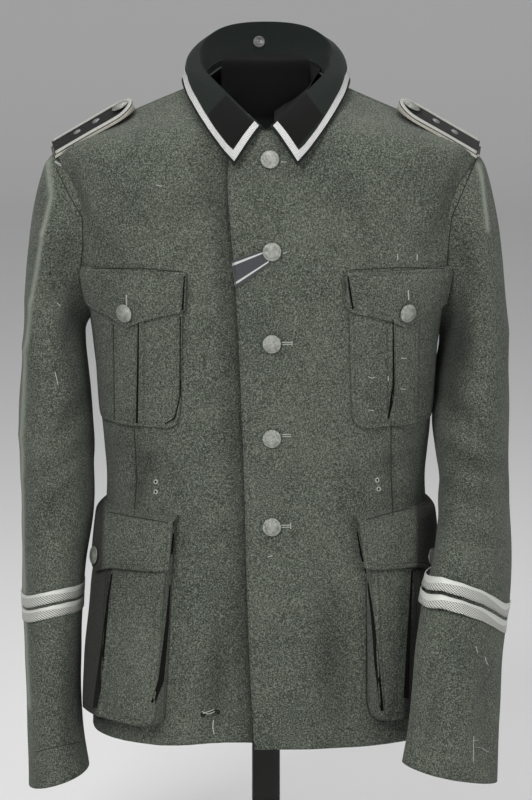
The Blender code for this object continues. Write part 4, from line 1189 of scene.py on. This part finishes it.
THREADS = (
    ((281, 162, .9), (286.5, 162, .9)), ((283, 253.5, .9), (287, 252, .9)),
    ((282, 342.3, .8), (292, 342.3, .8)), ((282, 344.3, .8), (292, 344.3, .8)),
    ((282, 434.5, .8), (291, 434.5, .8)), ((282, 436.5, .8), (291, 436.5, .8)),
    ((281, 525.5, .8), (290.5, 525, .8)), ((281, 527.5, .8), (290.5, 527, .8)),
    ((290.7, 522.5, .9), (290.7, 529, .9)), ((292, 341, .9), (292, 345.6, .9)),
    ((126.5, 295, 1.0), (126.8, 305.5, 1.0)), ((408, 290, 1.0), (408.6, 300, 1.0)),
    ((397.5, 254, .8), (397.6, 260, .8)), ((417, 254, .8), (417, 260, .8)),
    ((401, 358, .9), (406, 358.4, .9)), ((368, 376.6, .7), (371.5, 378, .7), (375, 377, .7)),
    ((388, 376, .8), (388, 381, .8)), ((400.5, 388.6, .9), (405, 389.4, .9)),
    ((368.5, 410, .8), (373.5, 410.5, .8)), ((267.5, 557, .9), (272.5, 555.5, .9)),
    ((213.5, 720, 1.1), (212.8, 727, 1.0), (214.2, 734, .9)),
    ((202, 711.5, .7), (208, 714, .7), (215, 711.5, .7)), ((203, 713.5, .6), (214, 709.5, .6)),
    ((475.5, 646, .45), (477.5, 653, .45)), ((485, 657, .45), (486, 662, .45), (488, 665, .45)),
    ((473.5, 736, .4), (473, 762, .4)), ((471, 741, .4), (478, 740, .4)),
    ((475, 747, .4), (482, 748, .4), (488, 752, .4)), ((57, 303, .8), (60, 306, .8)),
    ((55, 372, .7), (58, 385, .7)), ((156, 185, .7), (162, 186.5, .7)),
)
jacket = [piece for piece in scene.collection.objects if piece.name.endswith("_wool")]
jacket_tree = surface_of(*jacket)
# Painted shade for the seam lines and painted shadow for the slits
seam_shade = plain_cloth("seam_shade", (0.012, 0.014, 0.011), (0.034, 0.038, 0.031))
slit_shade = plain_cloth("slit_shade", (0.0016, 0.0018, 0.0014), (0.0045, 0.005, 0.004))
thread = plain_cloth("thread", (0.20, 0.20, 0.18), (0.50, 0.50, 0.47), 900.0)
LOOPS = (((55.5, 162.0, 2.2), (62.0, 166.0, 2.2)), ((470.5, 153.0, 2.0), (480.0, 157.0, 2.0)))
for name, paths, finish, lift in (("seams", SEAMS, seam_shade, 0.0003),
                                  ("board_loops", LOOPS, thread, 0.0012),
                                  ("pleat_slits", SLITS, slit_shade, 0.0004),
                                  ("threads", THREADS, thread, 0.0007)):
    bands = laid(name, [grid for path in paths for grid in seen_band(jacket_tree, path)],
                 lift, 0.0012)
    dress(bands, finish, "wool")

EYELETS = ((155.8, 481.8), (155.8, 491.8), (377.2, 480.0), (378.6, 489.0))
for i, spot in enumerate(EYELETS):
    place, outward = seen(jacket_tree, *spot)
    ring = turned_piece(f"eyelet_{i + 1}", ((0.0012, -0.0004), (0.0013, 0.0005), (0.0019, 0.0009),
                        (0.0025, 0.0006), (0.0027, -0.0004)), place, outward, 20)
    dress(ring, thread, "wool")
    # A dark disc of painted shadow in the eyelet's hole
    hole = turned_piece(f"eyelet_hole_{i + 1}", ((0.0, 0.0003), (0.0014, 0.0003)), place,
                        outward, 20)
    dress(hole, slit_shade, "wool")


# Stand: a dress form without limbs, covered in black jersey, on a steel pole and a round
# base. It is drawn in a little under the jacket, clear of the folds.

FORM_SHARE = 0.96
FORM_COVERED = (0.20, 0.79)
form_cover = Finish("form_cover", roughness=0.95, specular_ior_level=0.1,
                    base_color=(0.0035, 0.0035, 0.004, 1.0))
form_cover.feed("Normal", form_cover.bump(form_cover.noise(700.0, 2.0), 0.0004, 0.4))
stand_metal = Finish("stand_metal", roughness=0.42, metallic=0.6,
                     base_color=(0.018, 0.018, 0.017, 1.0))
form = finer("dress_form", "form_covered", 2)
points = positions(form)
covered = (points[:, 2] > FORM_COVERED[0]) & (points[:, 2] < FORM_COVERED[1])
points[covered, :2] *= FORM_SHARE
move_to(form, points)
dress(form, form_cover.material, "form_cover", "dress_form")
for node in ("pole", "base"):
    dress(finer(node, node + "_steel", 2), stand_metal.material, "stand_metal", node)


# Setting: a pale floor that curves up behind the stand, three soft lights and an evenly
# lit room.

floor_finish = Finish("floor", roughness=0.9, specular_ior_level=0.1,
                      base_color=(0.72, 0.72, 0.72, 1.0))
FLOOR_HALF = 9.0
SWEEP_START = 6.4
SWEEP_RADIUS = 1.6
SWEEP_TOP = 7.0
profile = [(-FLOOR_HALF, 0.0), (SWEEP_START, 0.0)]
profile += [(SWEEP_START + SWEEP_RADIUS * math.sin(a), SWEEP_RADIUS * (1.0 - math.cos(a)))
            for a in np.linspace(0.1, math.pi / 2, 14)]
profile.append((SWEEP_START + SWEEP_RADIUS, SWEEP_TOP))
sweep = bmesh.new()
columns = [[sweep.verts.new((x, y, z)) for y, z in profile] for x in (-FLOOR_HALF, FLOOR_HALF)]
for j in range(len(profile) - 1):
    sweep.faces.new((columns[0][j], columns[1][j], columns[1][j + 1], columns[0][j + 1]))
floor = linked("floor", sweep)
floor.data.materials.append(floor_finish.material)


JACKET_MIDDLE = (0.0, 0.0, 0.5)


def soft_light(name, place, size, power):
    """A white rectangular light that faces the jacket."""
    data = bpy.data.lights.new(name, "AREA")
    data.shape = "RECTANGLE"
    data.size, data.size_y = size
    data.energy = power
    light = bpy.data.objects.new(name, data)
    light.location = place
    aim = Vector(JACKET_MIDDLE) - Vector(place)
    light.rotation_euler = aim.to_track_quat("-Z", "Y").to_euler()
    scene.collection.objects.link(light)


soft_light("key", (-1.5, -3.6, 2.8), (1.6, 1.6), 120.0)
soft_light("fill", (2.4, -3.0, 1.4), (2.0, 2.0), 45.0)
soft_light("top", (0.0, 0.3, 3.2), (2.4, 1.6), 50.0)
ROOM_LIGHT = 0.38
world = bpy.data.worlds.new("room")
world.use_nodes = True
world.node_tree.nodes["Background"].inputs["Color"].default_value = (1.0, 1.0, 1.0, 1.0)
world.node_tree.nodes["Background"].inputs["Strength"].default_value = ROOM_LIGHT
scene.world = world
scene.view_settings.view_transform = "Standard"
